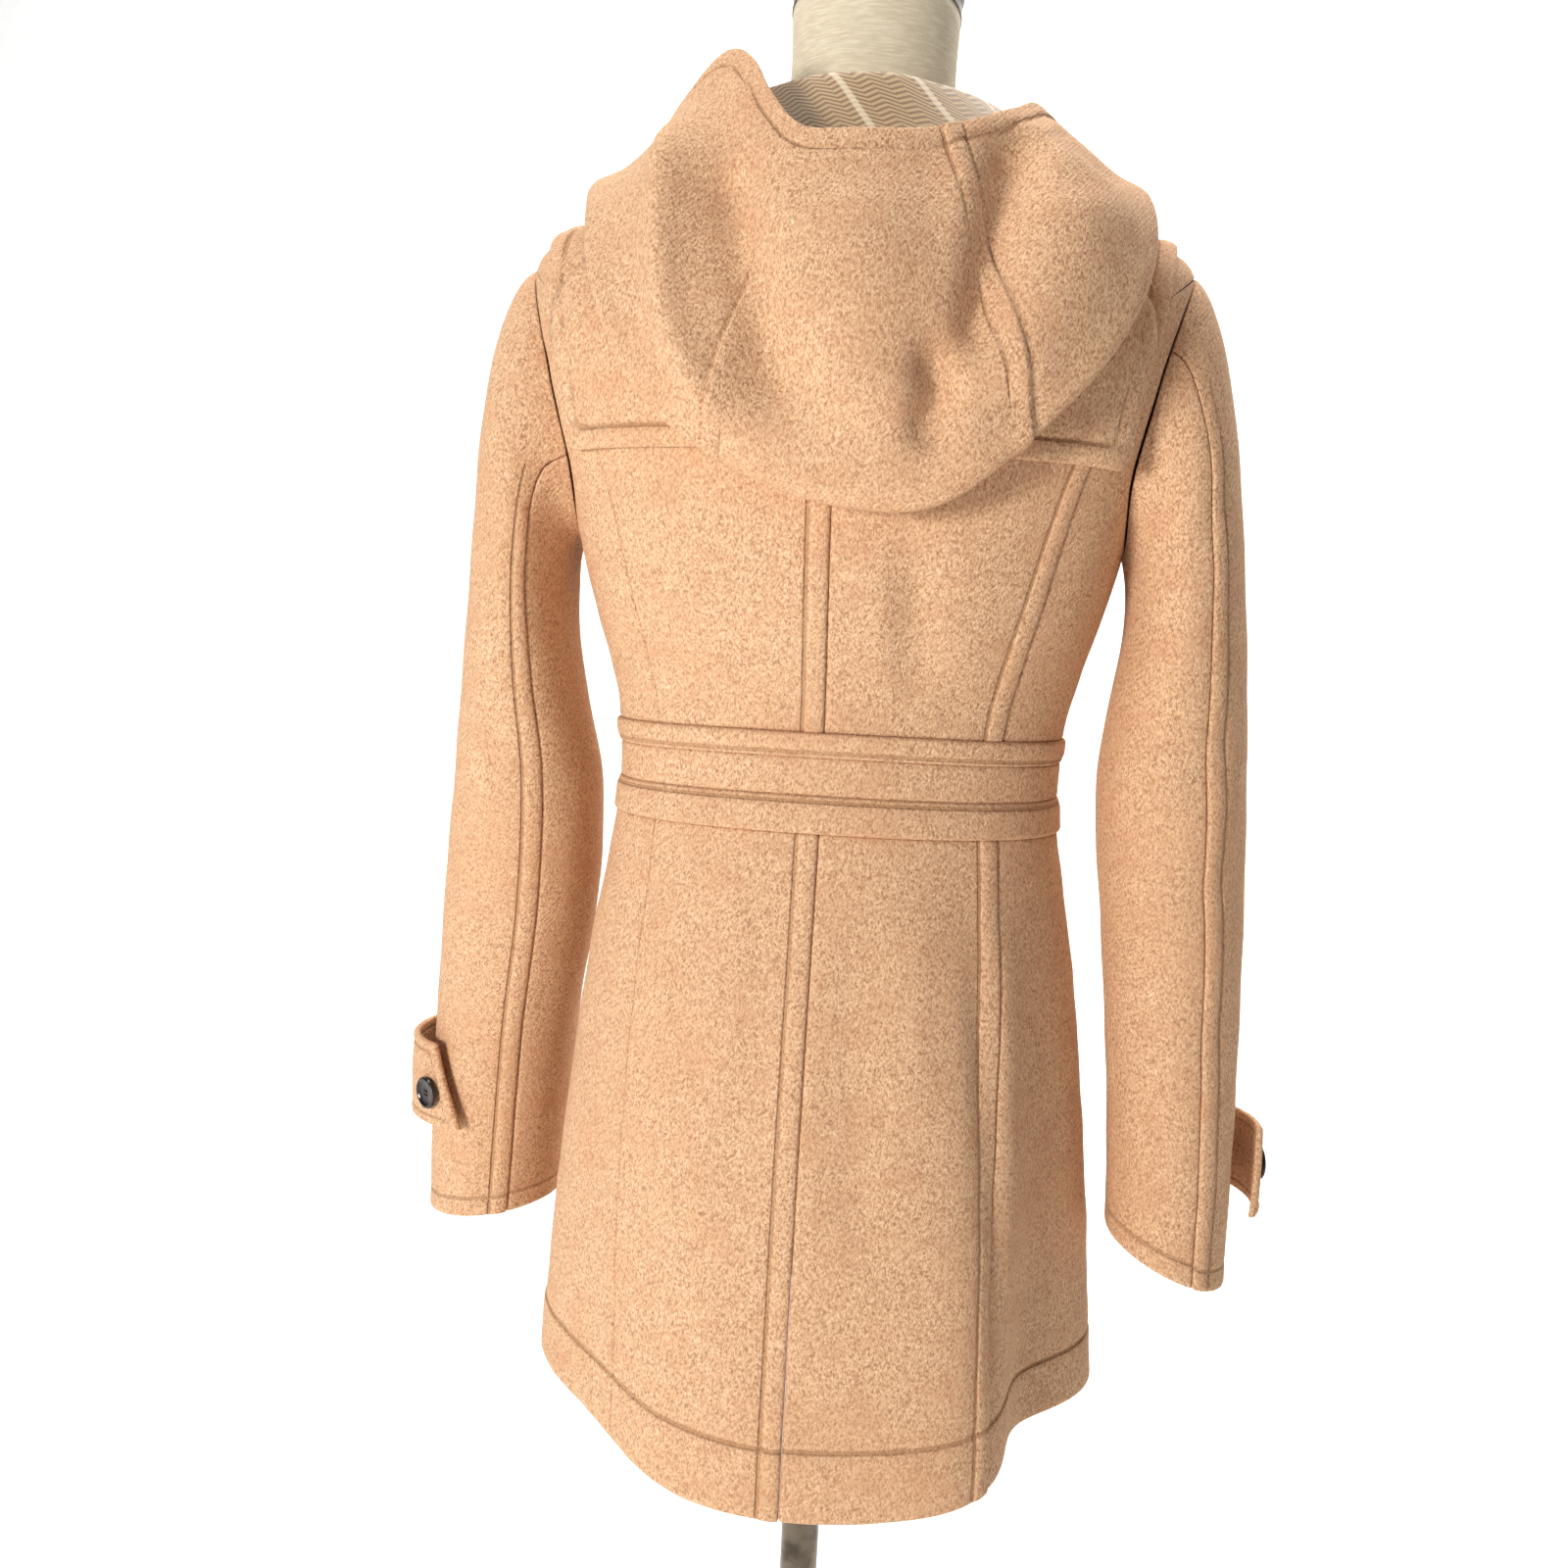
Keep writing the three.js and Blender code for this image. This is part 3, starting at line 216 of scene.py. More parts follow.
FLUTES = (  # skirt: degrees from the centre back, width, and depth at the hem
    (-60, 11, -26), (-36, 12, 10), (-93, 12, 9), (24, 16, 4), (46, 15, -15),
    (82, 12, 3), (118, 12, -8), (148, 12, 5), (-120, 12, -8), (-146, 12, 5),
)
WOOL_THICK = 3.0
LAP_RISE = 5.0
FRONT_LAP = 36.0
NUDGE = 1e-3


def smoothstep(low, high, x):
    t = np.clip((x - low) / (high - low), 0, 1)
    return t * t * (3 - 2 * t)


def hump(x, middle, width):
    """1 at the middle, falling away smoothly on both sides of it."""
    return np.exp(-(((x - middle) / width) ** 2))


def read(values, row):
    """A table, or a row of points, at fractional rows, as a smooth curve through the rows."""
    values, row = np.asarray(values, float), np.asarray(row, float)
    last = len(values) - 1
    i = np.clip(np.floor(row).astype(int), 0, last - 1)
    wide = row.shape + (1,) * (values.ndim - 1)
    t = (row - i).reshape(wide)
    a, b = values[np.maximum(i - 1, 0)], values[i]
    c, d = values[i + 1], values[np.minimum(i + 2, last)]
    slope_in = np.where((i == 0).reshape(wide), c - b, (c - a) / 2)
    slope_out = np.where((i + 1 == last).reshape(wide), c - b, (d - b) / 2)
    rise = (2 * t**3 - 3 * t**2 + 1) * b + (3 * t**2 - 2 * t**3) * c
    return rise + (t**3 - 2 * t**2 + t) * slope_in + (t**3 - t**2) * slope_out


def unit(v):
    return v / np.maximum(np.linalg.norm(v, axis=-1, keepdims=True), 1e-9)


def run_along(grid, axis=0):
    """How far along its line each point of a grid lies, in millimetres from the line's first point."""
    steps = np.linalg.norm(np.diff(grid, axis=axis), axis=-1)
    return np.cumsum(np.insert(steps, 0, 0.0, axis=axis), axis=axis)


def body_surface(theta, v):
    """The plain form of body and skirt: an angle from the centre back, and a section of the table."""
    theta, v = np.broadcast_arrays(np.asarray(theta, float), np.asarray(v, float))
    s, c = np.sin(theta), np.cos(theta)
    n = read(SECTIONS["square"], v)
    size = (np.abs(s) ** n + np.abs(c) ** n) ** (-1 / n)
    flute = np.zeros_like(theta)
    for angle, width, depth in FLUTES:
        turn = np.degrees(theta) - angle
        turn = turn - 360 * np.round(turn / 360)
        flute = flute + depth * np.exp(-((turn / width) ** 2) / 2)
    flute = flute * (np.maximum(v - WAIST_BOTTOM, 0) / (HEM - WAIST_BOTTOM)) ** 1.3
    back = c > 0
    depth = np.where(back, read(SECTIONS["back"], v), read(SECTIONS["front"], v))
    z_end = np.where(back, read(SECTIONS["z_back"], v), read(SECTIONS["z_front"], v))
    z_side = read(SECTIONS["z_side"], v)
    x = (read(SECTIONS["half"], v) + flute) * s * size
    y = (depth + flute) * c * size
    return np.stack([x, y, z_side + (z_end - z_side) * c * c], -1)


def normal_of(surface, turn, row, last):
    """The direction across a surface, last being its last row."""
    along = surface(turn + NUDGE, row) - surface(turn - NUDGE, row)
    down = surface(turn, np.minimum(row + NUDGE, last)) - surface(turn, np.maximum(row - NUDGE, 0))
    return unit(np.cross(along, down))


def per_radian(surface, turn, row):
    """Millimetres of a surface's section for each radian."""
    return np.linalg.norm(surface(turn + NUDGE, row) - surface(turn - NUDGE, row), axis=-1) / (2 * NUDGE)


def per_section(theta, v):
    low, high = np.maximum(v - NUDGE, 0), np.minimum(v + NUDGE, HEM)
    return np.linalg.norm(body_surface(theta, high) - body_surface(theta, low), axis=-1) / (high - low)


def lap_rise(p):
    """The right front lies over the left one near the centre front."""
    return np.where(p[..., 1] < 0, LAP_RISE * smoothstep(-FRONT_LAP - 74, -FRONT_LAP - 12, p[..., 0]), 0)


def creases(p, folds, fade=0.35):
    """What folds add at each point: a soft trough, or a ridge where its depth is above 0, along each path."""
    out = np.zeros(p.shape[:-1])
    for path, width, depth in folds:
        path = np.asarray(path, float)
        lengths = np.linalg.norm(np.diff(path, axis=0), axis=-1)
        near, run, start = np.full(p.shape[:-1], 1e9), np.zeros(p.shape[:-1]), 0.0
        for a, b, length in zip(path[:-1], path[1:], lengths):
            t = np.clip(((p - a) @ (b - a)) / length**2, 0, 1)
            gap = np.linalg.norm(p - (a + t[..., None] * (b - a)), axis=-1)
            run = np.where(gap < near, start + t * length, run)
            near = np.minimum(gap, near)
            start += length
        share = run / lengths.sum()
        ends = smoothstep(0, fade, share) * smoothstep(0, fade, 1 - share)
        out = out + depth * np.exp(-((near / width) ** 2) / 2) * np.maximum(ends, 0.15)
    return out


BODY_CREASES = (  # path, width, depth
    # back of the bodice: drag from the armholes to the waist, and ease above the waistband
    (((150, 95, 1010), (120, 105, 960), (96, 100, 905)), 9, -1.8),
    (((158, 80, 990), (138, 88, 950), (120, 88, 900)), 8, 1.4),
    (((-150, 95, 1010), (-122, 104, 960), (-98, 100, 900)), 9, -2.0),
    (((-160, 78, 980), (-140, 86, 940), (-122, 86, 898)), 8, 1.4),
    (((60, 122, 1000), (54, 118, 940), (48, 110, 898)), 10, -1.3),
    (((-46, 122, 1020), (-50, 119, 970), (-55, 112, 920), (-57, 106, 893)), 11, -4.6),
    (((-32, 124, 1000), (-35, 119, 950), (-38, 112, 905)), 9, 1.6),
    (((18, 110, 930), (22, 107, 900), (24, 106, 890)), 5, -1.0),
    (((-78, 100, 925), (-74, 98, 905), (-72, 97, 890)), 5, -1.0),
    (((88, 98, 925), (84, 96, 905), (82, 95, 890)), 5, -1.0),
    # front of the bodice
    (((150, -80, 1000), (110, -105, 965), (70, -112, 940)), 10, -1.8),
    (((-150, -80, 1000), (-112, -105, 960), (-70, -112, 930)), 10, -1.8),
    (((120, -100, 1060), (100, -115, 1010), (80, -116, 950)), 12, 1.6),
    (((-122, -100, 1060), (-100, -115, 1010), (-84, -116, 950)), 12, 1.6),
    # skirt: soft vertical swings below the waistband, and dents near the hem
    (((20, 112, 815), (30, 128, 700), (36, 142, 560)), 13, -2.2),
    (((-22, 112, 815), (-30, 128, 690), (-42, 142, 540)), 12, -2.0),
    (((92, 95, 815), (110, 105, 700), (128, 115, 560), (138, 118, 470)), 14, 2.6),
    (((-110, 86, 815), (-126, 96, 700), (-142, 100, 580), (-146, 106, 450)), 10, 3.6),
    (((-92, 96, 830), (-110, 104, 694), (-124, 112, 577), (-126, 118, 441)), 9, -6.0),
    (((70, 106, 812), (78, 120, 720), (84, 134, 640)), 10, -1.8),
    (((-60, 108, 815), (-66, 124, 720), (-70, 136, 640)), 9, 1.8),
    (((40, 148, 520), (20, 151, 470), (0, 152, 440)), 16, 2.0),
    (((90, -90, 815), (108, -104, 700), (122, -112, 540)), 13, -2.4),
    (((-90, -90, 815), (-106, -104, 700), (-122, -112, 540)), 13, -2.4),
    (((40, -104, 815), (52, -120, 680), (60, -132, 520)), 13, 2.2),
    (((-44, -106, 815), (-56, -122, 680), (-66, -134, 520)), 13, 2.2),
)


def body_point(theta, v, out):
    """A point above the body's surface: the surface's form, its folds, then out along its normal."""
    p = body_surface(theta, v)
    x, y, z = p[..., 0], p[..., 1], p[..., 2]
    folds = creases(p, BODY_CREASES)
    folds = folds + 0.35 * np.sin(x * 0.061 + z * 0.043 + 1.3) * np.sin(z * 0.057 - y * 0.052 + 0.4)
    folds = folds + 0.22 * np.sin(x * 0.17 - y * 0.12 + z * 0.031 + 2.1) * np.sin(z * 0.13 + x * 0.05)
    return p + normal_of(body_surface, theta, v, HEM) * (out + folds)[..., None]


def placed(name, mesh):
    piece = bpy.data.objects.new(name, mesh)
    scene.collection.objects.link(piece)
    return piece


def closed_cloth(name, outer, inner, finish, marks, lip=0.93):
    """A thin closed cloth between an outer and an inner grid of points in millimetres. Its cut edges are rounded
    and stand lip past both faces. marks are two numbers for each point, for stitching or weave."""
    rows, cols = outer.shape[:2]
    at = np.arange(rows * cols).reshape(rows, cols)
    loop = np.concatenate([at[0, :-1], at[:-1, -1], at[-1, :0:-1], at[:0:-1, 0]])
    step = np.clip(np.stack(np.divmod(loop, cols), -1), 1, (rows - 2, cols - 2))
    skin, back = outer.reshape(-1, 3), inner.reshape(-1, 3)
    past = unit(skin[loop] - skin[step[:, 0] * cols + step[:, 1]]) * lip
    over = skin[loop] * 0.76 + back[loop] * 0.24 + past
    under = skin[loop] * 0.30 + back[loop] * 0.70 + past
    points = np.concatenate([skin, back, over, under]) * 0.001
    face = np.stack([at[:-1, :-1], at[1:, :-1], at[1:, 1:], at[:-1, 1:]], -1).reshape(-1, 4)
    count = rows * cols
    following = np.roll(np.arange(len(loop)), -1)
    ring = np.arange(len(loop)) + 2 * count
    bands = [loop, ring, ring + len(loop), loop + count]
    edges = [np.stack([a, a[following], b[following], b], -1) for a, b in zip(bands[:-1], bands[1:])]
    faces = np.concatenate([face, face[:, ::-1] + count, *edges])
    a, b, c, d = (points[faces[:, k]] for k in range(4))
    volume = np.einsum("ij,ij->", a, np.cross(b, c)) + np.einsum("ij,ij->", a, np.cross(c, d))
    if volume < 0:
        faces = faces[:, ::-1]
    mesh = bpy.data.meshes.new(name)
    mesh.from_pydata(points.tolist(), [], faces.tolist(), shade_flat=False)
    flat = np.asarray(marks, float).reshape(-1, 2)
    every = np.concatenate([flat, flat, flat[loop], flat[loop]])
    layer = mesh.uv_layers.new(name="marks")
    layer.data.foreach_set("uv", every[faces.ravel()].astype(np.float32).ravel())
    mesh.materials.append(finish)
    return placed(name, mesh)


def as_piece(piece, nodes):
    """Rides a piece on the part in place of its solids."""
    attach(piece, "root")
    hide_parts(*nodes)


def as_cloth(piece, grid, nodes, rests_on):
    """The same for a cloth; its flat cut in metres is measured on its outer face and then left unused."""
    as_piece(piece, nodes)
    across, down = run_along(grid, 1)[:, -1].max() / 1000, run_along(grid)[-1].max() / 1000
    a, b = grid[1:, 1:] - grid[:-1, :-1], grid[1:, :-1] - grid[:-1, 1:]
    area = np.linalg.norm(np.cross(a, b), axis=-1).sum() / 2e6
    area = float(min(max(area, 0.31 * across * down), across * down))
    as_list(rests_on)


# marks on wool: the distance to the next row of stitching and the run along it, so thread lies in its own groove,
# which is darkened with painted shade.
wool = Finish("camel_wool_melton")
hair = wool.noise(1150.0, 3.0, 0.65, (1.0, 1.0, 0.45), (0.0, 0.55, 0.0))
fleck = wool.noise(560.0, 2.0, 0.55, (1.0, 1.0, 0.8), (0.0, -0.6, 0.0))
cloud = wool.noise(34.0, 4.0, 0.62, (1.0, 1.0, 1.6))
wear = wool.noise(11.0, 3.0, 0.55)
twill = wool.wave("DIAGONAL", 190.0, 2.2, 1.5, (1.0, 0.2, 1.0))
_, off, run = wool.marks()
# Within 2 mm of each row of stitching the wool is sunk by the bump and also darkened with painted shade.
shaded_groove, thread = wool.band(off, 0.0019, 0.0003), wool.band(off, 0.00062, 0.00030)
stitch = wool.sum("FRACT", run / 0.0034)
pulled = thread * wool.band(wool.sum("ABSOLUTE", stitch - 0.5), 0.44, 0.34)
tone = wool.mix(wool.band(hair, 0.30, 0.70), colour(178, 136, 102), colour(233, 196, 160))
for share, shade in (
    (wool.band(fleck, 0.55, 0.74) * 0.45, (244, 216, 184)), (wool.band(fleck, 0.47, 0.33) * 0.62, (148, 104, 78)),
    (wool.band(cloud, 0.46, 0.68) * 0.34, (196, 148, 116)), (wool.band(wear, 0.46, 0.68) * 0.24, (202, 154, 118)),
    (shaded_groove * 0.34, (150, 104, 70)), (pulled * 0.6, (196, 150, 108)),
):
    tone = wool.mix(share, tone, colour(*shade))
height = hair * 0.5 + fleck * 0.6 + twill * 0.16 + cloud * 0.5 - shaded_groove * 1.2 + pulled * 0.5
WOOL = wool.finished({
    "Base Color": tone, "Roughness": wool.band(fleck, 0.2, 0.8) * 0.1 + 0.86,
    "Normal": wool.bump(height, 0.0010, 0.8), "Specular IOR Level": 0.18,
    "Sheen Weight": 0.08, "Sheen Roughness": 0.5, "Sheen Tint": (1.0, 0.88, 0.74, 1.0),
})

# The armholes: where each sleeve's surface meets the body's. Body panels end on this line, sleeves start on it.
SLEEVES = {  # rings from inside the armhole down to the cuff, through the arm's outer and inner edges
    "left": {
        "out_x": (176, 202, 219, 233, 241, 246, 253, 263, 276, 288, 296),
        "out_z": (1176, 1173, 1160, 1120, 1070, 1010, 930, 850, 755, 650, 508),
        "in_x": (158, 168, 177, 181, 182, 181, 174, 164, 169, 186, 200),
        "in_z": (1010, 1002, 996, 984, 966, 938, 895, 838, 755, 656, 522),
        "y": (2, 2, 2, 2, 2, 1, -4, -16, -36, -56, -72),
        "depth": (58, 64, 66, 66, 65, 63, 60, 58, 56, 53, 52),
    },
    "right": {
        "out_x": (176, 199, 215, 229, 239, 247, 256, 262, 267, 271, 273),
        "out_z": (1180, 1177, 1162, 1122, 1072, 1012, 930, 850, 755, 650, 532),
        "in_x": (154, 164, 172, 176, 178, 177, 170, 168, 178, 188, 194),
        "in_z": (1018, 1011, 1005, 993, 973, 942, 895, 842, 757, 660, 562),
        "y": (2, 2, 3, 4, 5, 6, 6, 5, 4, 2, 0),
        "depth": (58, 64, 66, 66, 65, 63, 60, 57, 54, 52, 50),
    },
}
SIDE = {"left": 1, "right": -1}
CUFF = 10
PRINCESS, PRINCESS_HEM, SIDE_SEAM = (math.radians(angle) for angle in (46, 41, 95))


def sleeve_surface(end, turn, s):
    table = SLEEVES[end]
    turn, s = np.broadcast_arrays(np.asarray(turn, float), np.asarray(s, float))
    mid = (1 + np.cos(turn)) / 2
    x = read(table["in_x"], s) + (read(table["out_x"], s) - read(table["in_x"], s)) * mid
    y = read(table["y"], s) + read(table["depth"], s) * np.sin(turn)
    z = read(table["in_z"], s) + (read(table["out_z"], s) - read(table["in_z"], s)) * mid
    return np.stack([SIDE[end] * x, y, z], -1)


def place_on_body(p):
    """The angle and section of the body's surface level with a point, and how far outside it the point is."""
    v = np.full(p.shape[:-1], 3.5)
    for _ in range(60):
        depth = np.where(p[..., 1] > 0, read(SECTIONS["back"], v), read(SECTIONS["front"], v))
        theta = np.arctan2(p[..., 0] / read(SECTIONS["half"], v), p[..., 1] / depth)
        here = body_surface(theta, v)
        slope = (body_surface(theta, v + NUDGE)[..., 2] - here[..., 2]) / NUDGE
        v = np.clip(v - 0.6 * (here[..., 2] - p[..., 2]) / np.minimum(slope, -4.0), 0.0, 9.0)
    here = body_surface(theta, v)
    return theta, v, np.linalg.norm(p[..., :2], axis=-1) - np.linalg.norm(here[..., :2], axis=-1)


def find_armhole(end):
    """Where each line down the sleeve comes out of the body, and where the side seam meets the hole."""
    turns = np.radians(np.arange(-60, 301, 2.0))
    levels = np.arange(0.2, 6.0, 0.05)
    outside = place_on_body(sleeve_surface(end, turns[None, :], levels[:, None]))[2]
    start = []
    for column in outside.T:
        inside = np.nonzero(column < 0)[0]
        k = min(inside[-1] if len(inside) else 0, len(levels) - 2)
        share = column[k] / (column[k] - column[k + 1]) if column[k + 1] != column[k] else 0.5
        start.append(levels[k] + 0.05 * min(max(share, 0), 1))
    start = np.array(start)
    for _ in range(3):
        start = np.convolve(np.pad(start, 2, mode="edge"), (0.1, 0.2, 0.4, 0.2, 0.1), mode="valid")
    theta, v, _ = place_on_body(sleeve_surface(end, turns, start))
    theta = np.abs(theta)
    hole = {"turn": turns, "start": start, "theta": theta, "v": v}
    for part, low, high in (("top", -0.6, 0.7), ("low", 2.4, 4.0)):
        near = (turns > low) & (turns < high)
        order = np.argsort(theta[near])
        hole[f"{part}_turn"] = float(np.interp(SIDE_SEAM, theta[near][order], turns[near][order]))
        hole[f"{part}_v"] = float(np.interp(hole[f"{part}_turn"], turns, v))
    return hole


ARMHOLE = {end: find_armhole(end) for end in SLEEVES}


def armhole_angle(end, v, back):
    """The angle where a body panel ends at a section: at the armhole, or at the side seam above and below it."""
    hole = ARMHOLE[end]
    turns = np.linspace(hole["top_turn"] + (0 if back else 2 * math.pi), hole["low_turn"], 240)
    wrapped = np.where(turns > hole["turn"][-1], turns - 2 * math.pi, turns)
    theta = np.interp(wrapped, hole["turn"], hole["theta"])
    level = np.maximum.accumulate(np.interp(wrapped, hole["turn"], hole["v"]))
    theta[0] = theta[-1] = SIDE_SEAM
    return np.interp(v, level, theta, left=SIDE_SEAM, right=SIDE_SEAM)


PLAIN = (0.95, 1.7, 3.2)  # millimetres of a panel's first columns from its seam
WELT = 13.2
WELTED = (*PLAIN, 6.5, 9.8, 12.0, WELT, 14.2, 15.4, 18.0, 22.0)
FRONT_STITCH = 9.0
EDGED = (*PLAIN, FRONT_STITCH - 1.2, FRONT_STITCH, FRONT_STITCH + 1.2)
HEM_STITCH = 38.0


def steps_along(length, near, far, step):
    """Distances along a length: close together near both ends, even between."""
    count = max(2, int(round((length - near[-1] - far[-1]) / step)))
    middle = near[-1] + (length - near[-1] - far[-1]) * np.arange(1, count) / count
    return np.concatenate([near, middle, length - np.array(far[::-1])])


def columns(a, b, per_a, per_b, near, far, share):
    """The angles across a panel at each row, between its seams at a and b, and their distances from both."""
    in_a, in_b = a + near[-1] / per_a, b - far[-1] / per_b
    turn = np.concatenate([
        a[:, None] + np.array(near) / per_a[:, None], in_a[:, None] + (in_b - in_a)[:, None] * share,
        b[:, None] - np.array(far[::-1]) / per_b[:, None],
    ], axis=1)
    return turn, (turn - a[:, None]) * per_a[:, None], (b[:, None] - turn) * per_b[:, None]


def seam_roll(gap):
    """A cut edge rolls down into its seam."""
    return -0.75 * hump(gap, 0, 1.5)


def welt_form(gap, rise=1.3):
    """A lapped seam's raised strip: full at the seam, pinched to the stitching at its other edge."""
    body = rise * (0.72 + 0.36 * np.sin(np.pi * np.clip(gap / WELT, 0, 1)))
    return body * (1 - smoothstep(WELT - 2.4, WELT - 0.2, gap)) - 0.55 * hump(gap, WELT, 1.2)


def stitch_marks(lines):
    """The distance to the nearest row of stitching and the run along it, in metres."""
    near, run = lines[0]
    for gap, along in lines[1:]:
        run = np.where(gap < near, along, run)
        near = np.minimum(near, gap)
    return np.stack([near, run], -1) / 1000


def body_panel(name, end, nodes, v_span, start, stop, rests_on=("dress_form",), welt=None, welt_from=0.0,
               pressed=None, edged=False, hem=False, top=PLAIN, low=PLAIN, top_rows=(), low_rows=(), rise=None,
               step=4.0, extra_rows=()):
    """One cloth panel of the body between two seams, given as angles at each section. Its end is left, right, or
    whole where it runs right round. welt and pressed each name the seam that is so, start or stop."""
    levels = np.linspace(*v_span, 400)
    drop = np.diff(levels) * per_section(math.radians(60), (levels[1:] + levels[:-1]) / 2)
    length = np.concatenate([[0], np.cumsum(drop)])
    rows = steps_along(length[-1], top, low, step)
    if len(extra_rows):
        more = np.interp(extra_rows, levels, length)
        rows = np.unique(np.concatenate([rows, more[(more > 4) & (more < length[-1] - 4)]]))
        rows = rows[np.concatenate([[True], np.diff(rows) > 0.5])]
    v = np.interp(rows, length, levels)
    a, b = start(v), stop(v)
    per_a, per_b = per_radian(body_surface, a, v), per_radian(body_surface, b, v)
    near = WELTED if welt == "start" else PLAIN
    far = EDGED if edged else WELTED if welt == "stop" else PLAIN
    width = ((b - far[-1] / per_b - a - near[-1] / per_a) * (per_a + per_b) / 2).max()
    count = max(3, int(round(width / step)))
    theta, from_start, from_stop = columns(a, b, per_a, per_b, near, far, np.arange(1, count) / count)
    level = np.broadcast_to(v[:, None], theta.shape)
    from_top = np.broadcast_to(rows[:, None], theta.shape)
    from_low = length[-1] - from_top
    lift = seam_roll(from_start) * (0.3 if pressed == "start" else 1) + seam_roll(from_top) + seam_roll(from_low)
    lift = lift + seam_roll(from_stop) * (0.3 if pressed == "stop" else 1)
    here = smoothstep(welt_from - 0.15, welt_from + 0.1, level) if welt_from else 1.0
    lines = [(np.full(theta.shape, 99.0), from_top)]
    if welt:
        from_welt = from_start if welt == "start" else from_stop
        lift = lift + here * welt_form(from_welt)
        lines.append((np.abs(from_welt - WELT) + np.where(here > 0.5, 0.0, 50.0), from_top))
    if edged:
        lift = lift - 0.4 * hump(from_stop, FRONT_STITCH, 1.3)
        lines.append((np.abs(from_stop - FRONT_STITCH), from_top))
    if hem:
        lift = lift - 0.55 * hump(from_low, HEM_STITCH, 1.5)
        lift = lift + 0.8 * (1 - smoothstep(HEM_STITCH - 2, HEM_STITCH, from_low))
        low_rows = (HEM_STITCH,)
    across = (theta - theta[:, :1]) * per_a[:, None]
    lines += [(np.abs(from_top - gap), across) for gap in top_rows]
    lines += [(np.abs(from_low - gap), across) for gap in low_rows]
    if rise:
        lift = lift + rise(from_top, from_low)
    angle = SIDE.get(end, 1) * theta
    plain = body_surface(angle, level)
    under = np.where(angle < 0, lap_rise(plain), 0.0)
    tucked = smoothstep(FRONT_LAP + 12, FRONT_LAP + 2, plain[..., 0]) * ((plain[..., 1] < 0) & (angle > 0))
    lift = np.where(lift > 0, lift * (1 - tucked), lift)
    outer = body_point(angle, level, under + lift)
    inner = body_point(angle, level, under - WOOL_THICK - 0.3 * seam_roll(np.minimum(from_start, from_stop)))
    as_cloth(closed_cloth(name, outer, inner, WOOL, stitch_marks(lines)), outer, nodes, rests_on)


def princess(v):
    share = np.clip((v - WAIST_BOTTOM) / (HEM - WAIST_BOTTOM), 0, 1)
    return PRINCESS + (PRINCESS_HEM - PRINCESS) * share


def centre_back(v):
    return np.zeros_like(v)


def side_seam(v):
    return np.full_like(v, SIDE_SEAM)


def front_edge(v):
    return math.pi + np.arcsin(FRONT_LAP / read(SECTIONS["half"], v))


BODICE = (0.0, WAIST_TOP)
BELOW_YOKE = 3.95  # the section from which the back's seam shows
CLOSE = np.array((-0.1, -0.05, -0.02, 0.0, 0.01, 0.025, 0.05, 0.08, 0.12, 0.17))  # rows at an armhole's ends
BACK = {"left": {"welt": "start", "pressed": "stop"}, "right": {"welt": "stop"}}
SIDE_BACK = {"left": {"pressed": "start"}, "right": {}}
for end, hole in ARMHOLE.items():
    close_rows = np.concatenate([hole["top_v"] + CLOSE, hole["low_v"] - CLOSE])
    body_panel(f"bodice_back_{end}", end, [f"back_{end}"], BODICE, centre_back, princess, welt_from=BELOW_YOKE,
               **BACK[end])
    body_panel(f"bodice_side_back_{end}", end, [f"side_back_{end}"], BODICE, princess,
               lambda v: armhole_angle(end, v, True), extra_rows=close_rows, **SIDE_BACK[end])
    body_panel(f"bodice_front_{end}", end, [f"front_{end}"], BODICE, lambda v: armhole_angle(end, v, False),
               front_edge, edged=True, extra_rows=close_rows)


# Skirt: six flared panels with the bodice's seams carried on, and a 38 mm hem turned up and stitched.
SKIRT = (WAIST_BOTTOM, HEM)
HEMMED = {"low": (0.95, 1.9, 3.8, 8.0, 14.0, 20.0, 26.0, 32.0, 35.5, 37.0, 38.0, 39.0, 40.5, 44.0), "hem": True,
          "rests_on": ("waist_strip_lower_cloth",)}
for end in SIDE:
    body_panel(f"skirt_back_{end}_panel", end, [f"skirt_back_{end}"], SKIRT, centre_back, princess, **BACK[end],
               **HEMMED)
    body_panel(f"skirt_side_{end}_panel", end, [f"skirt_side_{end}"], SKIRT, princess, side_seam,
               **SIDE_BACK[end], **HEMMED)
    body_panel(f"skirt_front_{end}_panel", end, [f"skirt_front_{end}"], SKIRT, side_seam, front_edge, edged=True,
               **HEMMED)


# Waistband: a flat band of the same wool between two padded strips. Each strip is seamed to the band and stitched
# down close to that seam; its outer edge stands free, over the bodice above and the skirt below.
STRIP = 17.0 / float(per_section(0.0, 8.5))
EDGE_STITCH = 3.0
STRIP_FREE = (0.6, 1.3, 2.2, 3.2, 4.6)
STRIP_HELD = (0.6, 1.3, 2.2, EDGE_STITCH, 3.8, 5.0, 6.5)


def strip_form(free, held):
    """A padded strip: full to its free edge, pinched by the stitching at the other."""
    full = 2.2 * (0.42 + 0.58 * smoothstep(0.0, 8.0, held)) + 0.25 * smoothstep(4.0, 1.5, free)
    return full - 0.35 * hump(held, EDGE_STITCH, 0.8)


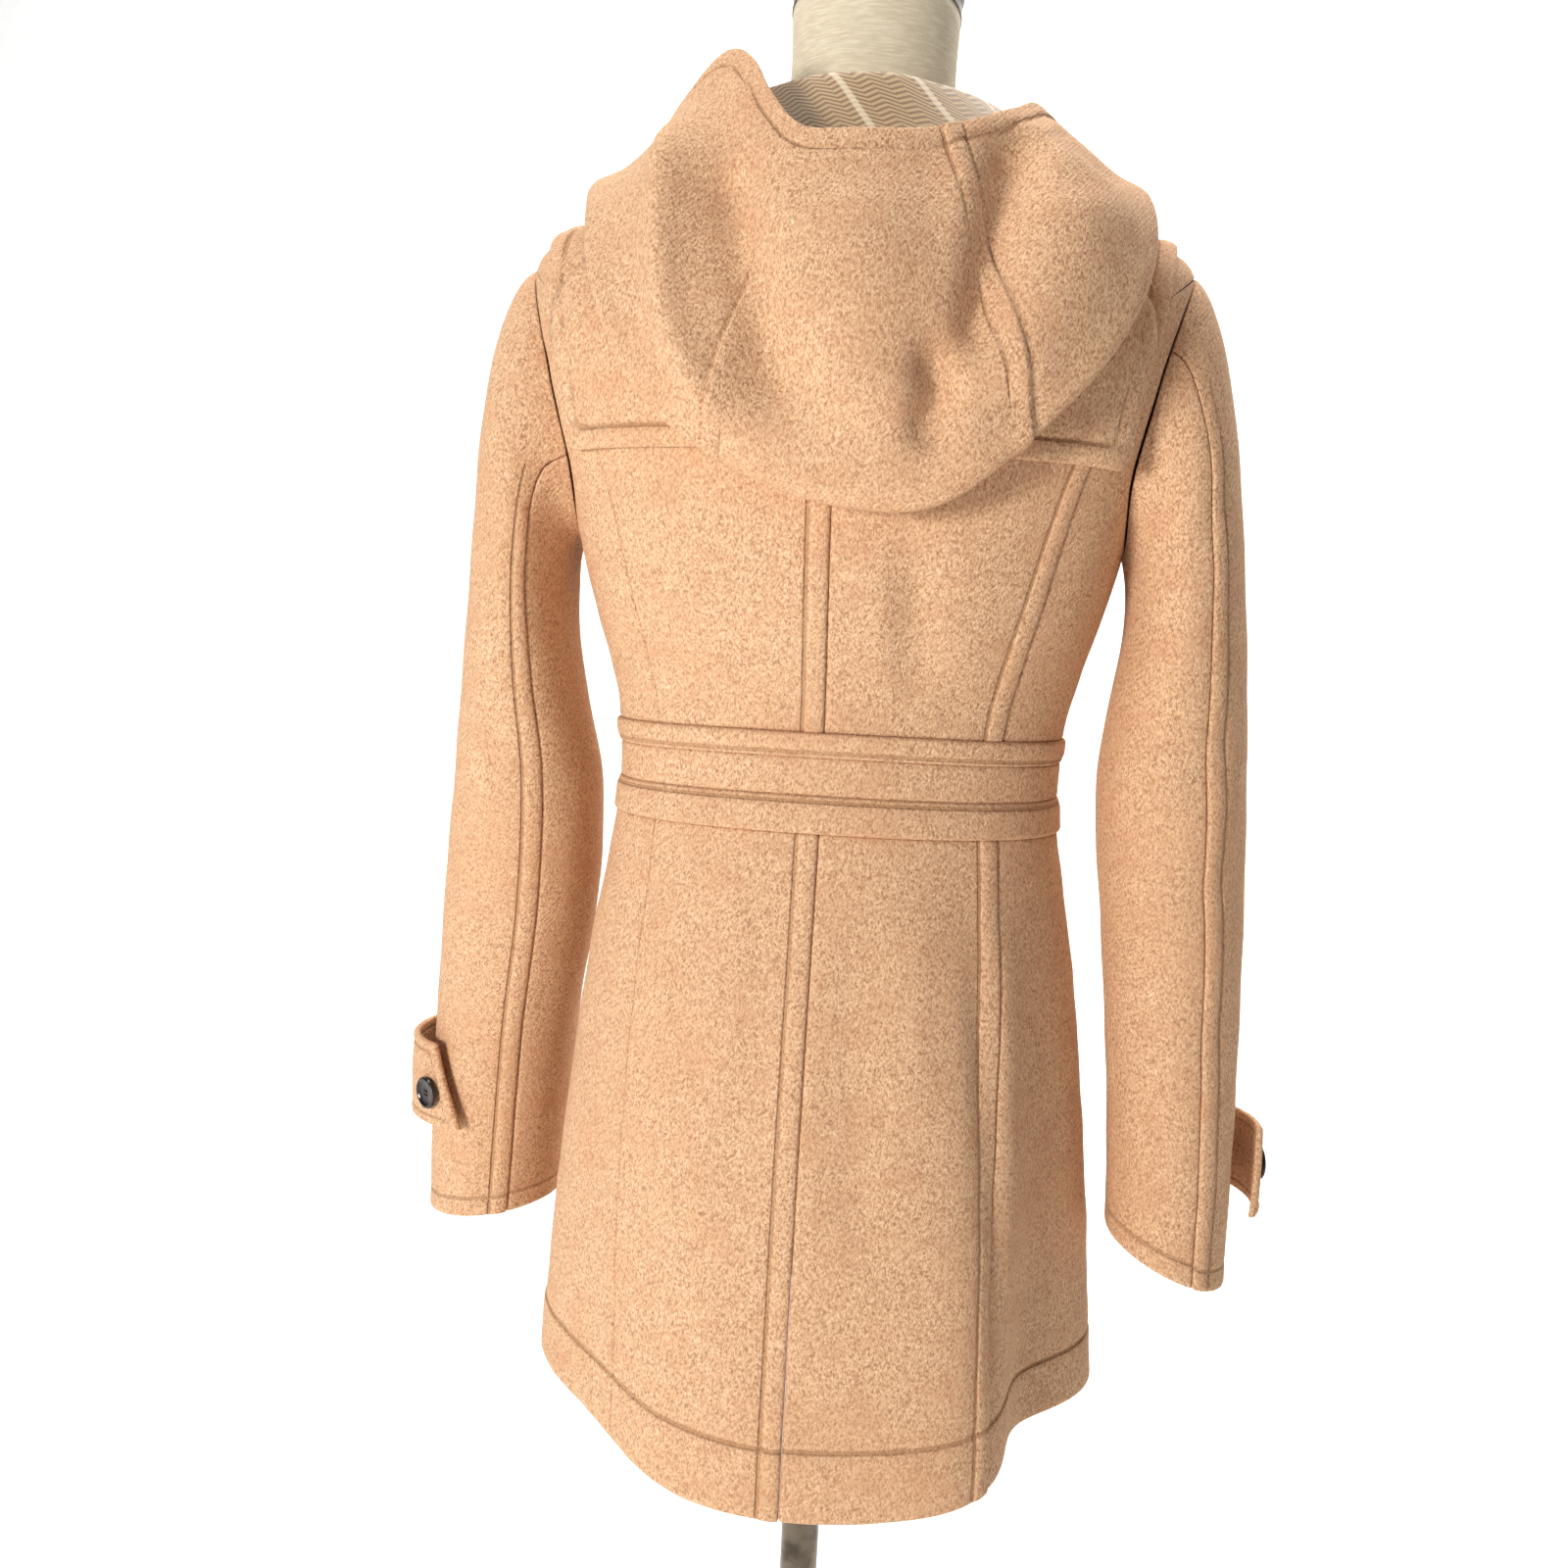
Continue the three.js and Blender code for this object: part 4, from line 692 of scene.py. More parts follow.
for name, span, settings in (
    ("waist_strip_upper", (WAIST_TOP, WAIST_TOP + STRIP), {
        "top": STRIP_FREE, "low": STRIP_HELD, "low_rows": (EDGE_STITCH,), "rise": strip_form}),
    ("waistband", (WAIST_TOP + STRIP, WAIST_BOTTOM - STRIP), {}),
    ("waist_strip_lower", (WAIST_BOTTOM - STRIP, WAIST_BOTTOM), {
        "top": STRIP_HELD, "low": STRIP_FREE, "top_rows": (EDGE_STITCH,),
        "rise": lambda from_top, from_low: strip_form(from_low, from_top)}),
):
    body_panel(f"{name}_cloth", "whole", [f"{name}_{end}" for end in SIDE], span, lambda v: -front_edge(v),
               front_edge, step=3.0, rests_on=("bodice_back_left", "bodice_back_right"), **settings)


# Sleeves: two pieces each, set into the armholes. The upper piece laps the under one along the back of the arm
# and is stitched 13 mm from that seam; the cuff is turned in and stitched 15 mm from its edge.
BACK_SEAM = {"left": math.radians(118), "right": math.radians(70)}
FORE_SEAM = {"left": math.radians(275), "right": math.radians(235)}
CUFF_STITCH = 15.0
CUFF_STEPS = (0.95, 1.8, 3.5, 7.0, 11.0, 13.8, CUFF_STITCH, 16.2, 19.0)
NEAR_HOLE = np.array((0.95, 1.7, 3.2, 6.0, 9.5))  # rows from the armhole, in millimetres
RING = 58.0  # millimetres down the arm between two rings of its table, near the armhole
SET_IN = 2.6  # the ring below which rows lie level
SLEEVE_CREASES = {  # path, width, depth: drag from the underarm, elbow breaks, and ease above the cuff
    "left": (
        (((202, 52, 1090), (201, 46, 1058), (199, 42, 1024), (196, 40, 990)), 7, -4.5),
        (((236, 60, 1060), (222, 64, 1010), (206, 60, 975)), 8, -2.2),
        (((216, 66, 1100), (214, 68, 1040), (212, 66, 990)), 10, 1.4),
        (((254, 44, 900), (232, 54, 870), (200, 46, 862)), 9, -2.4),
        (((262, 26, 862), (240, 42, 836), (206, 38, 822)), 10, 2.0),
        (((266, 10, 820), (244, 34, 800), (206, 30, 790)), 9, -2.6),
        (((252, 30, 780), (226, 26, 740), (204, 16, 730)), 11, -1.8),
        (((284, -20, 690), (262, 0, 660), (228, 0, 645)), 10, -1.6),
        (((290, -40, 640), (270, -16, 590), (246, -18, 560)), 11, 1.5),
        (((250, -60, 900), (232, -60, 860), (200, -56, 845)), 10, -2.0),
        (((268, -70, 800), (240, -84, 770), (206, -80, 760)), 10, -2.2),
    ),
    "right": (
        (((-232, 62, 1060), (-214, 68, 1010), (-198, 64, 975)), 8, -2.0),
        (((-214, 68, 1110), (-212, 70, 1050), (-208, 68, 1000)), 10, 1.3),
        (((-252, 50, 910), (-230, 64, 884), (-196, 58, 870)), 9, -2.0),
        (((-258, 40, 870), (-234, 62, 846), (-200, 56, 834)), 10, 1.8),
        (((-262, 30, 830), (-238, 58, 802), (-202, 54, 792)), 9, -2.2),
        (((-262, 30, 730), (-240, 54, 700), (-210, 50, 690)), 11, -1.6),
        (((-268, 20, 640), (-246, 48, 600), (-216, 46, 590)), 10, 1.4),
        (((-250, -52, 900), (-226, -52, 860), (-196, -48, 850)), 10, -2.0),
        (((-262, -44, 800), (-240, -50, 770), (-206, -46, 760)), 10, -2.0),
    ),
}


def sleeve_point(end, turn, s, out):
    surface = partial(sleeve_surface, end)
    p = surface(turn, s)
    x, y, z = p[..., 0], p[..., 1], p[..., 2]
    folds = creases(p, SLEEVE_CREASES[end])
    folds = folds + 0.4 * np.sin(z * 0.06 + y * 0.07 + x * 0.03) * np.sin(y * 0.05 - z * 0.041 + 1.1)
    return p - SIDE[end] * normal_of(surface, turn, s, CUFF) * (out + folds)[..., None]


def sleeve_panel(part, end, start, stop, step=3.8):
    welted = part == "upper"
    surface = partial(sleeve_surface, end)
    hole = ARMHOLE[end]
    mean = float(per_radian(surface, np.linspace(start, stop, 40), 3.0).mean())
    count = int(round((stop - start) * mean / step))
    axis_s = np.linspace(0, CUFF, 500)
    length = run_along(surface((start + stop) / 2, axis_s))
    base_s = np.interp(steps_along(length[-1], (3.0,), CUFF_STEPS, step), length, axis_s)
    middle = base_s[base_s > SET_IN]
    level = np.concatenate([np.full(len(NEAR_HOLE), 1.5), middle])
    a, b = np.full_like(level, start), np.full_like(level, stop)
    turn, from_start, from_stop = columns(
        a, b, per_radian(surface, a, level), per_radian(surface, b, level), PLAIN, WELTED if welted else PLAIN,
        np.arange(1, count) / count)
    wrapped = np.mod(turn[:1] + math.radians(60), 2 * math.pi) - math.radians(60)
    first = np.interp(wrapped, hole["turn"], hole["start"]) + NEAR_HOLE[:, None] / RING
    middle = middle[:, None]
    ease = 1 - smoothstep(SET_IN, 4.6, middle)
    eased = first[-1:] + (middle - SET_IN) * 0.35 + 0.03 + (middle - SET_IN) * 0.6
    s = np.concatenate([first, middle * (1 - ease) + np.minimum(middle, eased) * ease])
    s = np.minimum(np.maximum.accumulate(s, axis=0), CUFF)
    from_hole = np.full(turn.shape, 99.0)
    from_hole[:len(NEAR_HOLE)] = NEAR_HOLE[:, None]
    from_cuff = length[-1] - np.interp(s, axis_s, length)
    lift = seam_roll(from_start) + seam_roll(from_stop) + 1.3 * seam_roll(from_hole) + seam_roll(from_cuff)
    lines = [(np.full(turn.shape, 99.0), from_cuff)]
    if welted:
        lift = lift + smoothstep(3.2, 3.8, s) * welt_form(from_stop)
        lines.append((np.abs(from_stop - WELT) + np.where(s < SET_IN, 50, 0), from_cuff))
    lift = lift - 0.5 * hump(from_cuff, CUFF_STITCH, 1.4)
    lines.append((np.abs(from_cuff - CUFF_STITCH), from_start))
    outer = sleeve_point(end, turn, s, lift)
    inner = sleeve_point(end, turn, s, np.full(s.shape, -WOOL_THICK))
    piece = closed_cloth(f"sleeve_{end}_{part}_cloth", outer, inner, WOOL, stitch_marks(lines))
    as_cloth(piece, outer, [f"sleeve_{end}_{part}"], (f"bodice_side_back_{end}", f"bodice_front_{end}"))


for end in SLEEVES:
    sleeve_panel("under", end, BACK_SEAM[end], FORE_SEAM[end])
    sleeve_panel("upper", end, FORE_SEAM[end], BACK_SEAM[end] + 2 * math.pi)


# Yoke: one cape piece of the same wool over the shoulders, lying on the bodice, with a rounded corner each side
# and its free edge turned and topstitched 13 mm in.
YOKE = {"top_half": 192.0, "low_half": 162.0, "top_z": 1190.0, "back_z": 1051.0, "front_z": 1076.0}
YOKE_FRONT = 58.0  # its front edges, from the centre front
YOKE_OUT = 1.7
YOKE_BAND = 13.0
YOKE_INSET = np.array((0.95, 1.8, 3.2, 6.0, 9.5, 11.8, YOKE_BAND, 14.2, 16.5, 20.0))
CURLS = (((-150, 84, 1053), 4.5), ((152, 84, 1053), 1.6), ((-20, 128, 1053), 1.0))  # where, and how high


def soft_least(a, b, blend):
    """The smaller of two distances, rounded where they meet."""
    share = np.clip(0.5 + 0.5 * (b - a) / blend, 0, 1)
    return b + (a - b) * share - blend * share * (1 - share)


def inside_yoke(p, n):
    """How far a point of the body lies inside the yoke's outline, along the cloth."""
    lean = (YOKE["top_half"] - YOKE["low_half"]) / (YOKE["top_z"] - YOKE["back_z"])
    x, y, z = np.abs(p[..., 0]), p[..., 1], p[..., 2]
    low_z = np.where(y > 0, YOKE["back_z"], YOKE["front_z"])
    low = (z - low_z) / np.sqrt(np.maximum(1 - n[..., 2] ** 2, 0.05))
    slant = lean * n[..., 2] - n[..., 0] * np.sign(p[..., 0])
    side_size = np.sqrt(np.maximum(1 + lean**2 - slant**2, 0.05))
    return soft_least(low, (YOKE["low_half"] + (z - YOKE["back_z"]) * lean - x) / side_size, 9.0)


def front_limit(v):
    """The angle at which the yoke's front edge runs down."""
    low, high = np.full_like(v, math.pi / 2), np.full_like(v, math.pi)
    for _ in range(30):
        mid = (low + high) / 2
        far = body_surface(mid, v)[..., 0] > YOKE_FRONT
        low, high = np.where(far, mid, low), np.where(far, high, mid)
    return (low + high) / 2


shares = np.linspace(-1, 1, 191)
levels = np.linspace(0.22, 4.7, 260)
theta = shares * front_limit(levels)[:, None]
level = np.broadcast_to(levels[:, None], theta.shape)
p = body_surface(theta, level)
depth_in = inside_yoke(p, normal_of(body_surface, theta, level, HEM))
depth_in[:60] = np.maximum(depth_in[:60], 5.0)  # near the neck the outline doesn't count
out = np.argmax(depth_in < 0, axis=0)
each = np.arange(len(shares))
before, after = depth_in[out - 1, each], depth_in[out, each]
edge_v = levels[out - 1] + (levels[1] - levels[0]) * before / (before - after)
length = run_along(p)
edge_at = np.array([np.interp(edge_v[k], levels, length[:, k]) for k in each])
rows = np.concatenate([
    YOKE_INSET[:, None] + np.zeros(len(shares)),
    YOKE_INSET[-1] + (edge_at - YOKE_INSET[-1]) * np.linspace(0, 1, 40)[1:, None],
])
v = np.stack([np.interp(edge_at[k] - rows[:, k], length[:, k], levels) for k in each], axis=1)
theta = shares * front_limit(v)
p = body_surface(theta, v)
gap = np.minimum(np.maximum(inside_yoke(p, normal_of(body_surface, theta, v, HEM)), 0.0), rows)
gap = np.where(v < 0.9, 60.0, gap)
front_gap = np.where(p[..., 1] < 0, np.abs(p[..., 0]) - YOKE_FRONT + 0.9, 99.0)
gap = np.where(front_gap < 40, soft_least(gap, front_gap, 6.0), gap)
padded = 1.1 * (0.72 + 0.36 * np.sin(np.pi * np.clip(gap / YOKE_BAND, 0, 1)))
lift = seam_roll(gap) * 1.1 + padded * (1 - smoothstep(YOKE_BAND - 2.2, YOKE_BAND, gap))
lift = lift - 0.9 * hump(gap, YOKE_BAND, 1.5)
rise = YOKE_OUT + lap_rise(p)
for where, curl in CURLS:
    rise = rise + curl * hump(np.linalg.norm(p - np.array(where), axis=-1), 0, 20)
outer = body_point(theta, v, WOOL_THICK + rise + lift)
marks = np.stack([np.abs(gap - YOKE_BAND), run_along(p, 1)], -1) / 1000
yoke = closed_cloth("yoke_cape", outer, body_point(theta, v, rise), WOOL, marks)
as_cloth(yoke, outer, ["yoke"], ["bodice_back_left", "bodice_back_right"])


# Hood: three panels of wool, thrown back over the yoke, so the cloth rolls at the bottom and its outer layer
# comes up to the rim. The two panel seams are welted like the coat's, and the rim is stitched 13 mm in.
HOOD = {  # strips from the right front edge round the back to the left one
    "neck": (-150, -125, -100, -80, -62, -45, -30, -15, 0, 15, 30, 45, 60, 78, 100, 125, 150),
    "low": (-150, -125, -99, -79, -62, -47, -33, -18, -3, 13, 26, 38, 54, 72, 97, 125, 150),
    "reach": (1.2, 1.5, 1.75, 2.0, 2.35, 2.85, 3.5, 4.3, 4.3, 4.0, 3.5, 2.8, 2.25, 1.95, 1.75, 1.5, 1.2),
    "stand": (16, 26, 34, 38, 38, 39, 40, 41, 41, 41, 40, 39, 38, 38, 34, 26, 16),
    "turn": (9, 9, 9, 9, 10, 11, 12, 12, 12, 12, 12, 11, 10, 9, 9, 9, 9),
    "bulge": (0, 0, 0, -4, 0, 12, 16, 20, 20, 18, 15, 10, -4, -8, -3, 0, 0),
    "rim": (-149, -124, -98, -76, -58, -45, -30, -17, -2, 10, 20, 31, 44, 66, 94, 124, 149),
    "rim_r": (104, 110, 117, 118, 120, 126, 134, 139, 141, 140, 128, 115, 111, 114, 115, 110, 104),
    "rim_z": (1180, 1216, 1244, 1253, 1259, 1249, 1234, 1225, 1222, 1224, 1245, 1271, 1281, 1266, 1244, 1216,
              1180),
}
HOOD_ON_YOKE = 11.5
HOOD_SEAMS = (6.3, 9.4)
HOOD_RIM = 13.0
HOOD_FOLDS = (  # path across and up the back, width, depth of the outer layer's folds
    (((106, 1254), (103, 1228), (100, 1174), (93, 1120), (73, 1078), (50, 1052)), 7, 10.5),
    (((150, 1196), (142, 1160), (122, 1112), (104, 1082)), 14, -6.0),
    (((74, 1226), (58, 1165), (44, 1120), (31, 1088), (8, 1058)), 13, -17.0),
    (((-6, 1204), (-14, 1140), (-16, 1085), (-10, 1050)), 24, 7.0),
    (((-52, 1112), (-59, 1081), (-51, 1046)), 8, -15.0),
    (((-98, 1245), (-92, 1215), (-84, 1165), (-77, 1118), (-71, 1085)), 10, -16.0),
    (((-60, 1216), (-66, 1180), (-68, 1140), (-62, 1100)), 8, 3.0),
    (((-128, 1208), (-128, 1165), (-114, 1115), (-96, 1072)), 17, 7.0),
    (((-66, 1072), (-77, 1050), (-78, 1030)), 8, 3.0),
    (((-158, 1206), (-132, 1222), (-108, 1242)), 5, -3.0),
    (((86, 1268), (78, 1240), (66, 1210)), 9, -4.0),
    (((-100, 1058), (-118, 1078), (-140, 1104)), 7, -2.5),
)


def hood_sections(u):
    """Control points of the hood's section at each strip: from the neck seam over the stand, down on the yoke,
    round the bottom and up to the rim."""
    col = {key: read(values, u) for key, values in HOOD.items()}
    neck_angle, low_angle, rim_angle = (np.radians(col[key]) for key in ("neck", "low", "rim"))

    def on_body(theta, v, above):
        p = body_surface(theta, v)
        return p + normal_of(body_surface, theta, v, HEM) * (above + lap_rise(p))[..., None]

    neck = on_body(neck_angle, np.zeros_like(u), np.zeros_like(u))

    def from_neck(out, rise):
        rise = np.broadcast_to(rise, u.shape)[..., None]
        return neck + unit(neck * (1, 1, 0)) * out + np.array((0, 0, 1.0)) * rise

    def lie(share, above):
        return on_body(neck_angle + (low_angle - neck_angle) * share, col["reach"] * share, HOOD_ON_YOKE + above)

    zero = np.zeros_like(u)
    bottom = lie(1.0, zero)
    outward = normal_of(body_surface, low_angle, col["reach"], HEM)
    onward = unit(body_surface(low_angle, col["reach"] + NUDGE) - body_surface(low_angle, col["reach"]))
    rim = np.stack([np.sin(rim_angle) * col["rim_r"], np.cos(rim_angle) * col["rim_r"], col["rim_z"]], -1)

    def turned(along, rise):
        return bottom + onward * (col["turn"] * along)[..., None] + outward * (col["turn"] * rise)[..., None]

    from_turn = turned(0.2, 1.75)

    def outer(share):
        swell = (col["bulge"] * math.sin(math.pi * share))[..., None]
        return from_turn + (rim - from_turn) * share + outward * swell

    return np.stack([
        from_neck(2.4, 0.9), from_neck(3, col["stand"] * 0.55), from_neck(7, col["stand"] - 3),
        from_neck(14, col["stand"]), from_neck(21, col["stand"] - 6), lie(0.45, col["stand"] * 0.12),
        lie(0.75, zero), bottom, turned(0.85, 0.8), from_turn, outer(0.3), outer(0.6), outer(0.85), rim,
    ])


hood_w = np.concatenate([np.linspace(0, 12.86, 118), [12.905, 12.935, 12.958, 12.972]])
beside = np.array((0.022, 0.05, 0.1, 0.2, 0.29, 0.33, 0.36, 0.42))  # strips beside a panel seam
hood_u = np.concatenate([[0.025, 0.05, 0.09], np.linspace(0.15, 15.85, 150), [15.91, 15.95, 15.975]] + [
    seam + side * beside for seam in HOOD_SEAMS for side in (-1, 0, 1)])
hood_u = np.unique(np.round(hood_u, 4))
hood_u = hood_u[np.concatenate([[True], np.diff(hood_u) > 0.018])]
mid = read(hood_sections(hood_u), hood_w)
hood_normal = unit(np.cross(np.gradient(mid, axis=1), np.gradient(mid, axis=0)))
across, down = run_along(mid, 1), run_along(mid)
to_rim = down[-1:] - down + 1.0
x, y, z = mid[..., 0], mid[..., 1], mid[..., 2]
folds = creases(mid[..., (0, 2)], HOOD_FOLDS, 0.22)
folds = folds + 0.7 * np.sin(x * 0.045 + z * 0.03) * np.sin(z * 0.05 - y * 0.04 + 0.8)
folds = -folds * smoothstep(8.7, 9.8, hood_w)[:, None] * (y > 0)  # only in the outer layer
skin = 0.9 * (1 - smoothstep(10.5, HOOD_RIM, to_rim) - hump(to_rim, HOOD_RIM, 1.5)) + seam_roll(to_rim)
lines = [(np.abs(to_rim - HOOD_RIM), across)]
for seam, toward in zip(HOOD_SEAMS, (1, -1)):
    at_seam = np.stack([np.interp(seam, hood_u, row) for row in across])[:, None]
    gap = (across - at_seam) * toward
    shown = 1.0 if toward > 0 else smoothstep(11.3, 10.3, hood_w)[:, None]  # the left welt fades towards the rim
    welt = np.where(gap > 0, welt_form(np.abs(gap), 1.5), 0) * (0.3 + 0.7 * shown)
    skin = skin - 1.5 * (0.35 + 0.65 * shown) * hump(gap, 0, 1.1) + welt
    lines.append((np.abs(gap - WELT) + 4.0 * (1 - shown), down))
skin = skin + seam_roll(np.minimum(across, across[:, -1:] - across) + 0.9)


def hood_layer(above):
    """One face of the hood, so many millimetres from its middle towards the inside."""
    return mid + hood_normal * (above + folds)[..., None]


outer = hood_layer(-WOOL_THICK / 2 - skin)
hood = closed_cloth("hood_wool", outer, hood_layer(WOOL_THICK / 2), WOOL, stitch_marks(lines), 1.2)
as_cloth(hood, outer, ["hood"], ["yoke_cape"])


# Hood lining: a smooth woven cloth inside the hood, in a plain herringbone of tan, brown and cream. It shows at
# the neck and inside the rim, and is felled to the wool just short of the edge.
lining = Finish("herringbone_lining")
weave, u, v = lining.marks()
side = lining.sum("PINGPONG", u / 0.0085, 1.0)
rib = lining.sum("FRACT", v / 0.0034 + side * 1.1)
stripe = lining.band(lining.sum("ABSOLUTE", rib - 0.5), 0.30, 0.20)
wide = lining.band(lining.sum("ABSOLUTE", lining.sum("FRACT", u / 0.048) - 0.5), 0.06, 0.03)
yarn = lining.node("ShaderNodeMapping", None, {"Vector": weave, "Scale": (1, 3, 1)})
yarn = lining.noise(1800.0, where=yarn)
tone = lining.mix(stripe, colour(178, 150, 110), colour(124, 94, 66))
tone = lining.mix(wide * 0.6, tone, colour(228, 214, 186))
LINING = lining.finished({
    "Base Color": lining.mix(yarn * 0.25, tone, colour(200, 176, 138)), "Roughness": 0.55,
    "Normal": lining.bump(stripe * 0.5 + yarn * 0.5, 0.0002, 0.5), "Sheen Weight": 0.12,
    "Specular IOR Level": 0.35,
})
over, under = hood_layer(WOOL_THICK / 2 + 1.5)[:-3], hood_layer(WOOL_THICK / 2 + 0.3)[:-3]
marks = np.stack([across, down], -1)[:-3] / 1000
as_cloth(closed_cloth("hood_lining_cloth", over, under, LINING, marks, 0.3), over, ["hood_lining"],
         ["hood_wool"])


# Cuff straps: a doubled strip of wool sewn on at the front of each cuff, standing off round the outside, stitched
# 7 mm from its edge and held near its slanted end by a horn button.
STRAPS = {  # degrees round the cuff, millimetres off it, and rings of the sleeve
    "left": {"start": -96, "end_top": 52, "end_low": 80, "button": 52, "off": 11, "top": 9.05, "low": 9.5,
             "row": 9.32},
    "right": {"start": -98, "end_top": 4, "end_low": 24, "button": -12, "off": 14, "top": 9.1, "low": 9.57,
              "row": 9.36},
}
STRAP_THICK = 4.4
STRAP_STITCH = 7.0


def strap_stand(strap, turn):
    """How far a strap stands off its sleeve, by the angle round the cuff in degrees."""
    round_cuff = smoothstep(strap["start"] + 6, -8, turn) * (1 - 0.45 * smoothstep(4, 60, turn))
    return 0.4 + strap["off"] * round_cuff


row = np.concatenate([[0.018, 0.035, 0.07], np.linspace(0.12, 0.88, 17), [0.93, 0.965, 0.982]])[:, None]
share = np.concatenate([[0.008, 0.016, 0.03], np.linspace(0.05, 0.95, 40), [0.97, 0.984, 0.993]])[None, :]
for end, strap in STRAPS.items():
    stop = strap["end_top"] + (strap["end_low"] - strap["end_top"]) * row
    turn = strap["start"] + (stop - strap["start"]) * share
    s = strap["top"] + (strap["low"] - strap["top"]) * row + 0 * share
    stand = strap_stand(strap, turn)
    plain = sleeve_point(end, np.radians(turn), s, stand)
    across, down = run_along(plain, 1), run_along(plain)
    gap = np.minimum(np.minimum(down, down[-1:] - down), across[:, -1:] - across) + 0.8
    lift = 0.5 * hump(gap, 3.4, 2.4) - 0.7 * hump(gap, STRAP_STITCH, 1.3) + seam_roll(gap)
    outer = sleeve_point(end, np.radians(turn), s, stand + STRAP_THICK + lift)
    inner = sleeve_point(end, np.radians(turn), s, stand - 0.5 * seam_roll(gap))
    marks = np.stack([np.abs(gap - STRAP_STITCH), across + down], -1) / 1000
    piece = closed_cloth(f"cuff_strap_{end}_cloth", outer, inner, WOOL, marks, 0.9)
    as_cloth(piece, outer, [f"cuff_strap_{end}"], [f"sleeve_{end}_upper_cloth"])


# Cuff buttons: dark horn, turned with a raised rim and four holes, 23 mm across, sewn on with dark thread.
horn = Finish("mottled_dark_horn")
grain = horn.noise(160.0, 4.0, 0.6, (1.0, 1.0, 0.25), (0.2, 0.1, 0.0))
streak = horn.noise(420.0, 3.0, 0.6, (1.0, 1.0, 0.08), (0.1, 0.3, 0.0))
tone = horn.mix(horn.band(grain, 0.42, 0.66), colour(24, 17, 15), colour(66, 44, 30))
HORN = horn.finished({
    "Base Color": horn.mix(horn.band(streak, 0.58, 0.72) * 0.4, tone, colour(112, 82, 56)),
    "Roughness": horn.band(grain, 0.3, 0.7) * 0.14 + 0.22, "Normal": horn.bump(streak, 0.0001, 0.3),
    "Coat Weight": 0.25,
})


def edit(piece):
    """Opens one piece alone for editing, with all of its mesh selected."""
    bpy.ops.object.select_all(action="DESELECT")
    piece.select_set(True)
    bpy.context.view_layer.objects.active = piece
    bpy.ops.object.mode_set(mode="EDIT")
    bpy.ops.mesh.select_all(action="SELECT")


def turned_on_lathe(name, profile, finish, steps=56):
    """A closed turned piece: a profile of (radius, height) in millimetres, spun round the upright axis."""
    mesh = bpy.data.meshes.new(name)
    line = [(k, k + 1) for k in range(len(profile) - 1)]
    mesh.from_pydata([(r / 1000, 0, z / 1000) for r, z in profile], line, [])
    mesh.materials.append(finish)
    piece = placed(name, mesh)
    edit(piece)
    bpy.ops.mesh.spin(steps=steps, angle=2 * math.pi, center=(0, 0, 0), axis=(0, 0, 1))
    bpy.ops.mesh.select_all(action="SELECT")
    bpy.ops.mesh.remove_doubles(threshold=1e-6)
    bpy.ops.mesh.normals_make_consistent(inside=False)
    bpy.ops.object.mode_set(mode="OBJECT")
    bpy.ops.object.shade_smooth_by_angle(angle=math.radians(40))
    return piece


def put(piece, matrix):
    """Moves the mesh itself, so that the piece's object stays at the origin."""
    piece.data.transform(matrix)
    piece.data.update()
    return piece


blank = turned_on_lathe("button_blank", [
    (0, 0), (7.6, 0), (9.6, 0.5), (11.2, 1.7), (11.5, 2.6), (11.2, 3.6), (10.4, 4.1), (9.4, 4.0), (8.7, 3.3),
    (8.0, 2.9), (4.0, 2.8), (0, 2.8),
], HORN)
HOLE_R, HOLE_OUT = 0.0010, 0.0021
for k in range(4):
    angle = math.radians(45 + 90 * k)
    hole = (HOLE_OUT * math.cos(angle), HOLE_OUT * math.sin(angle), 0.001)
    bpy.ops.object.select_all(action="DESELECT")
    bpy.ops.mesh.primitive_cylinder_add(vertices=16, radius=HOLE_R, depth=0.012, location=hole)
    drill = bpy.context.object
    cut = blank.modifiers.new("hole", "BOOLEAN")
    cut.object = drill
    cut.solver = "EXACT"
    bpy.context.view_layer.objects.active = blank
    bpy.ops.object.modifier_apply(modifier="hole")
    bpy.data.objects.remove(drill)
bpy.ops.object.select_all(action="DESELECT")
blank.select_set(True)
bpy.ops.object.shade_smooth_by_angle(angle=math.radians(35))
sewing = Finish("dark_button_thread")
twist = sewing.noise(3000.0)
sewing.finished({
    "Base Color": sewing.mix(twist, colour(46, 34, 27), colour(92, 70, 54)), "Roughness": 0.8,
    "Normal": sewing.bump(twist, 0.0002, 0.5),
})
strand_profile = [(0, -3.0), (0.7, -1.2), (0.85, 0), (0.7, 1.2), (0, 3.0)]
thread = turned_on_lathe("button_thread", strand_profile, sewing.material, 12)
for end, strap in STRAPS.items():
    turn, row = np.radians(strap["button"]), np.array(strap["row"])
    stand = float(strap_stand(strap, strap["button"])) + STRAP_THICK
    low, high = (sleeve_point(end, turn, row, np.array(stand + above)) for above in (0.0, 1.0))
    facing = Vector(high - low).normalized().to_track_quat("Z", "Y").to_matrix().to_4x4()
    seat = Matrix.Translation(Vector(low + (high - low) * 0.3) / 1000) @ facing
    button = placed(f"cuff_button_{end}_horn", blank.data.copy())
    as_piece(put(button, seat), [f"cuff_button_{end}"])
    for side in (-1, 1):
        strand = placed(f"cuff_button_{end}_thread", thread.data.copy())
        across_holes = Matrix.Translation((0, side * 0.0015, 0.0030)) @ Matrix.Rotation(math.pi / 2, 4, "Y")
        put(strand, seat @ across_holes @ Matrix.Scale(0.62, 4))
        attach(strand, "root")
bpy.data.objects.remove(blank)
bpy.data.objects.remove(thread)


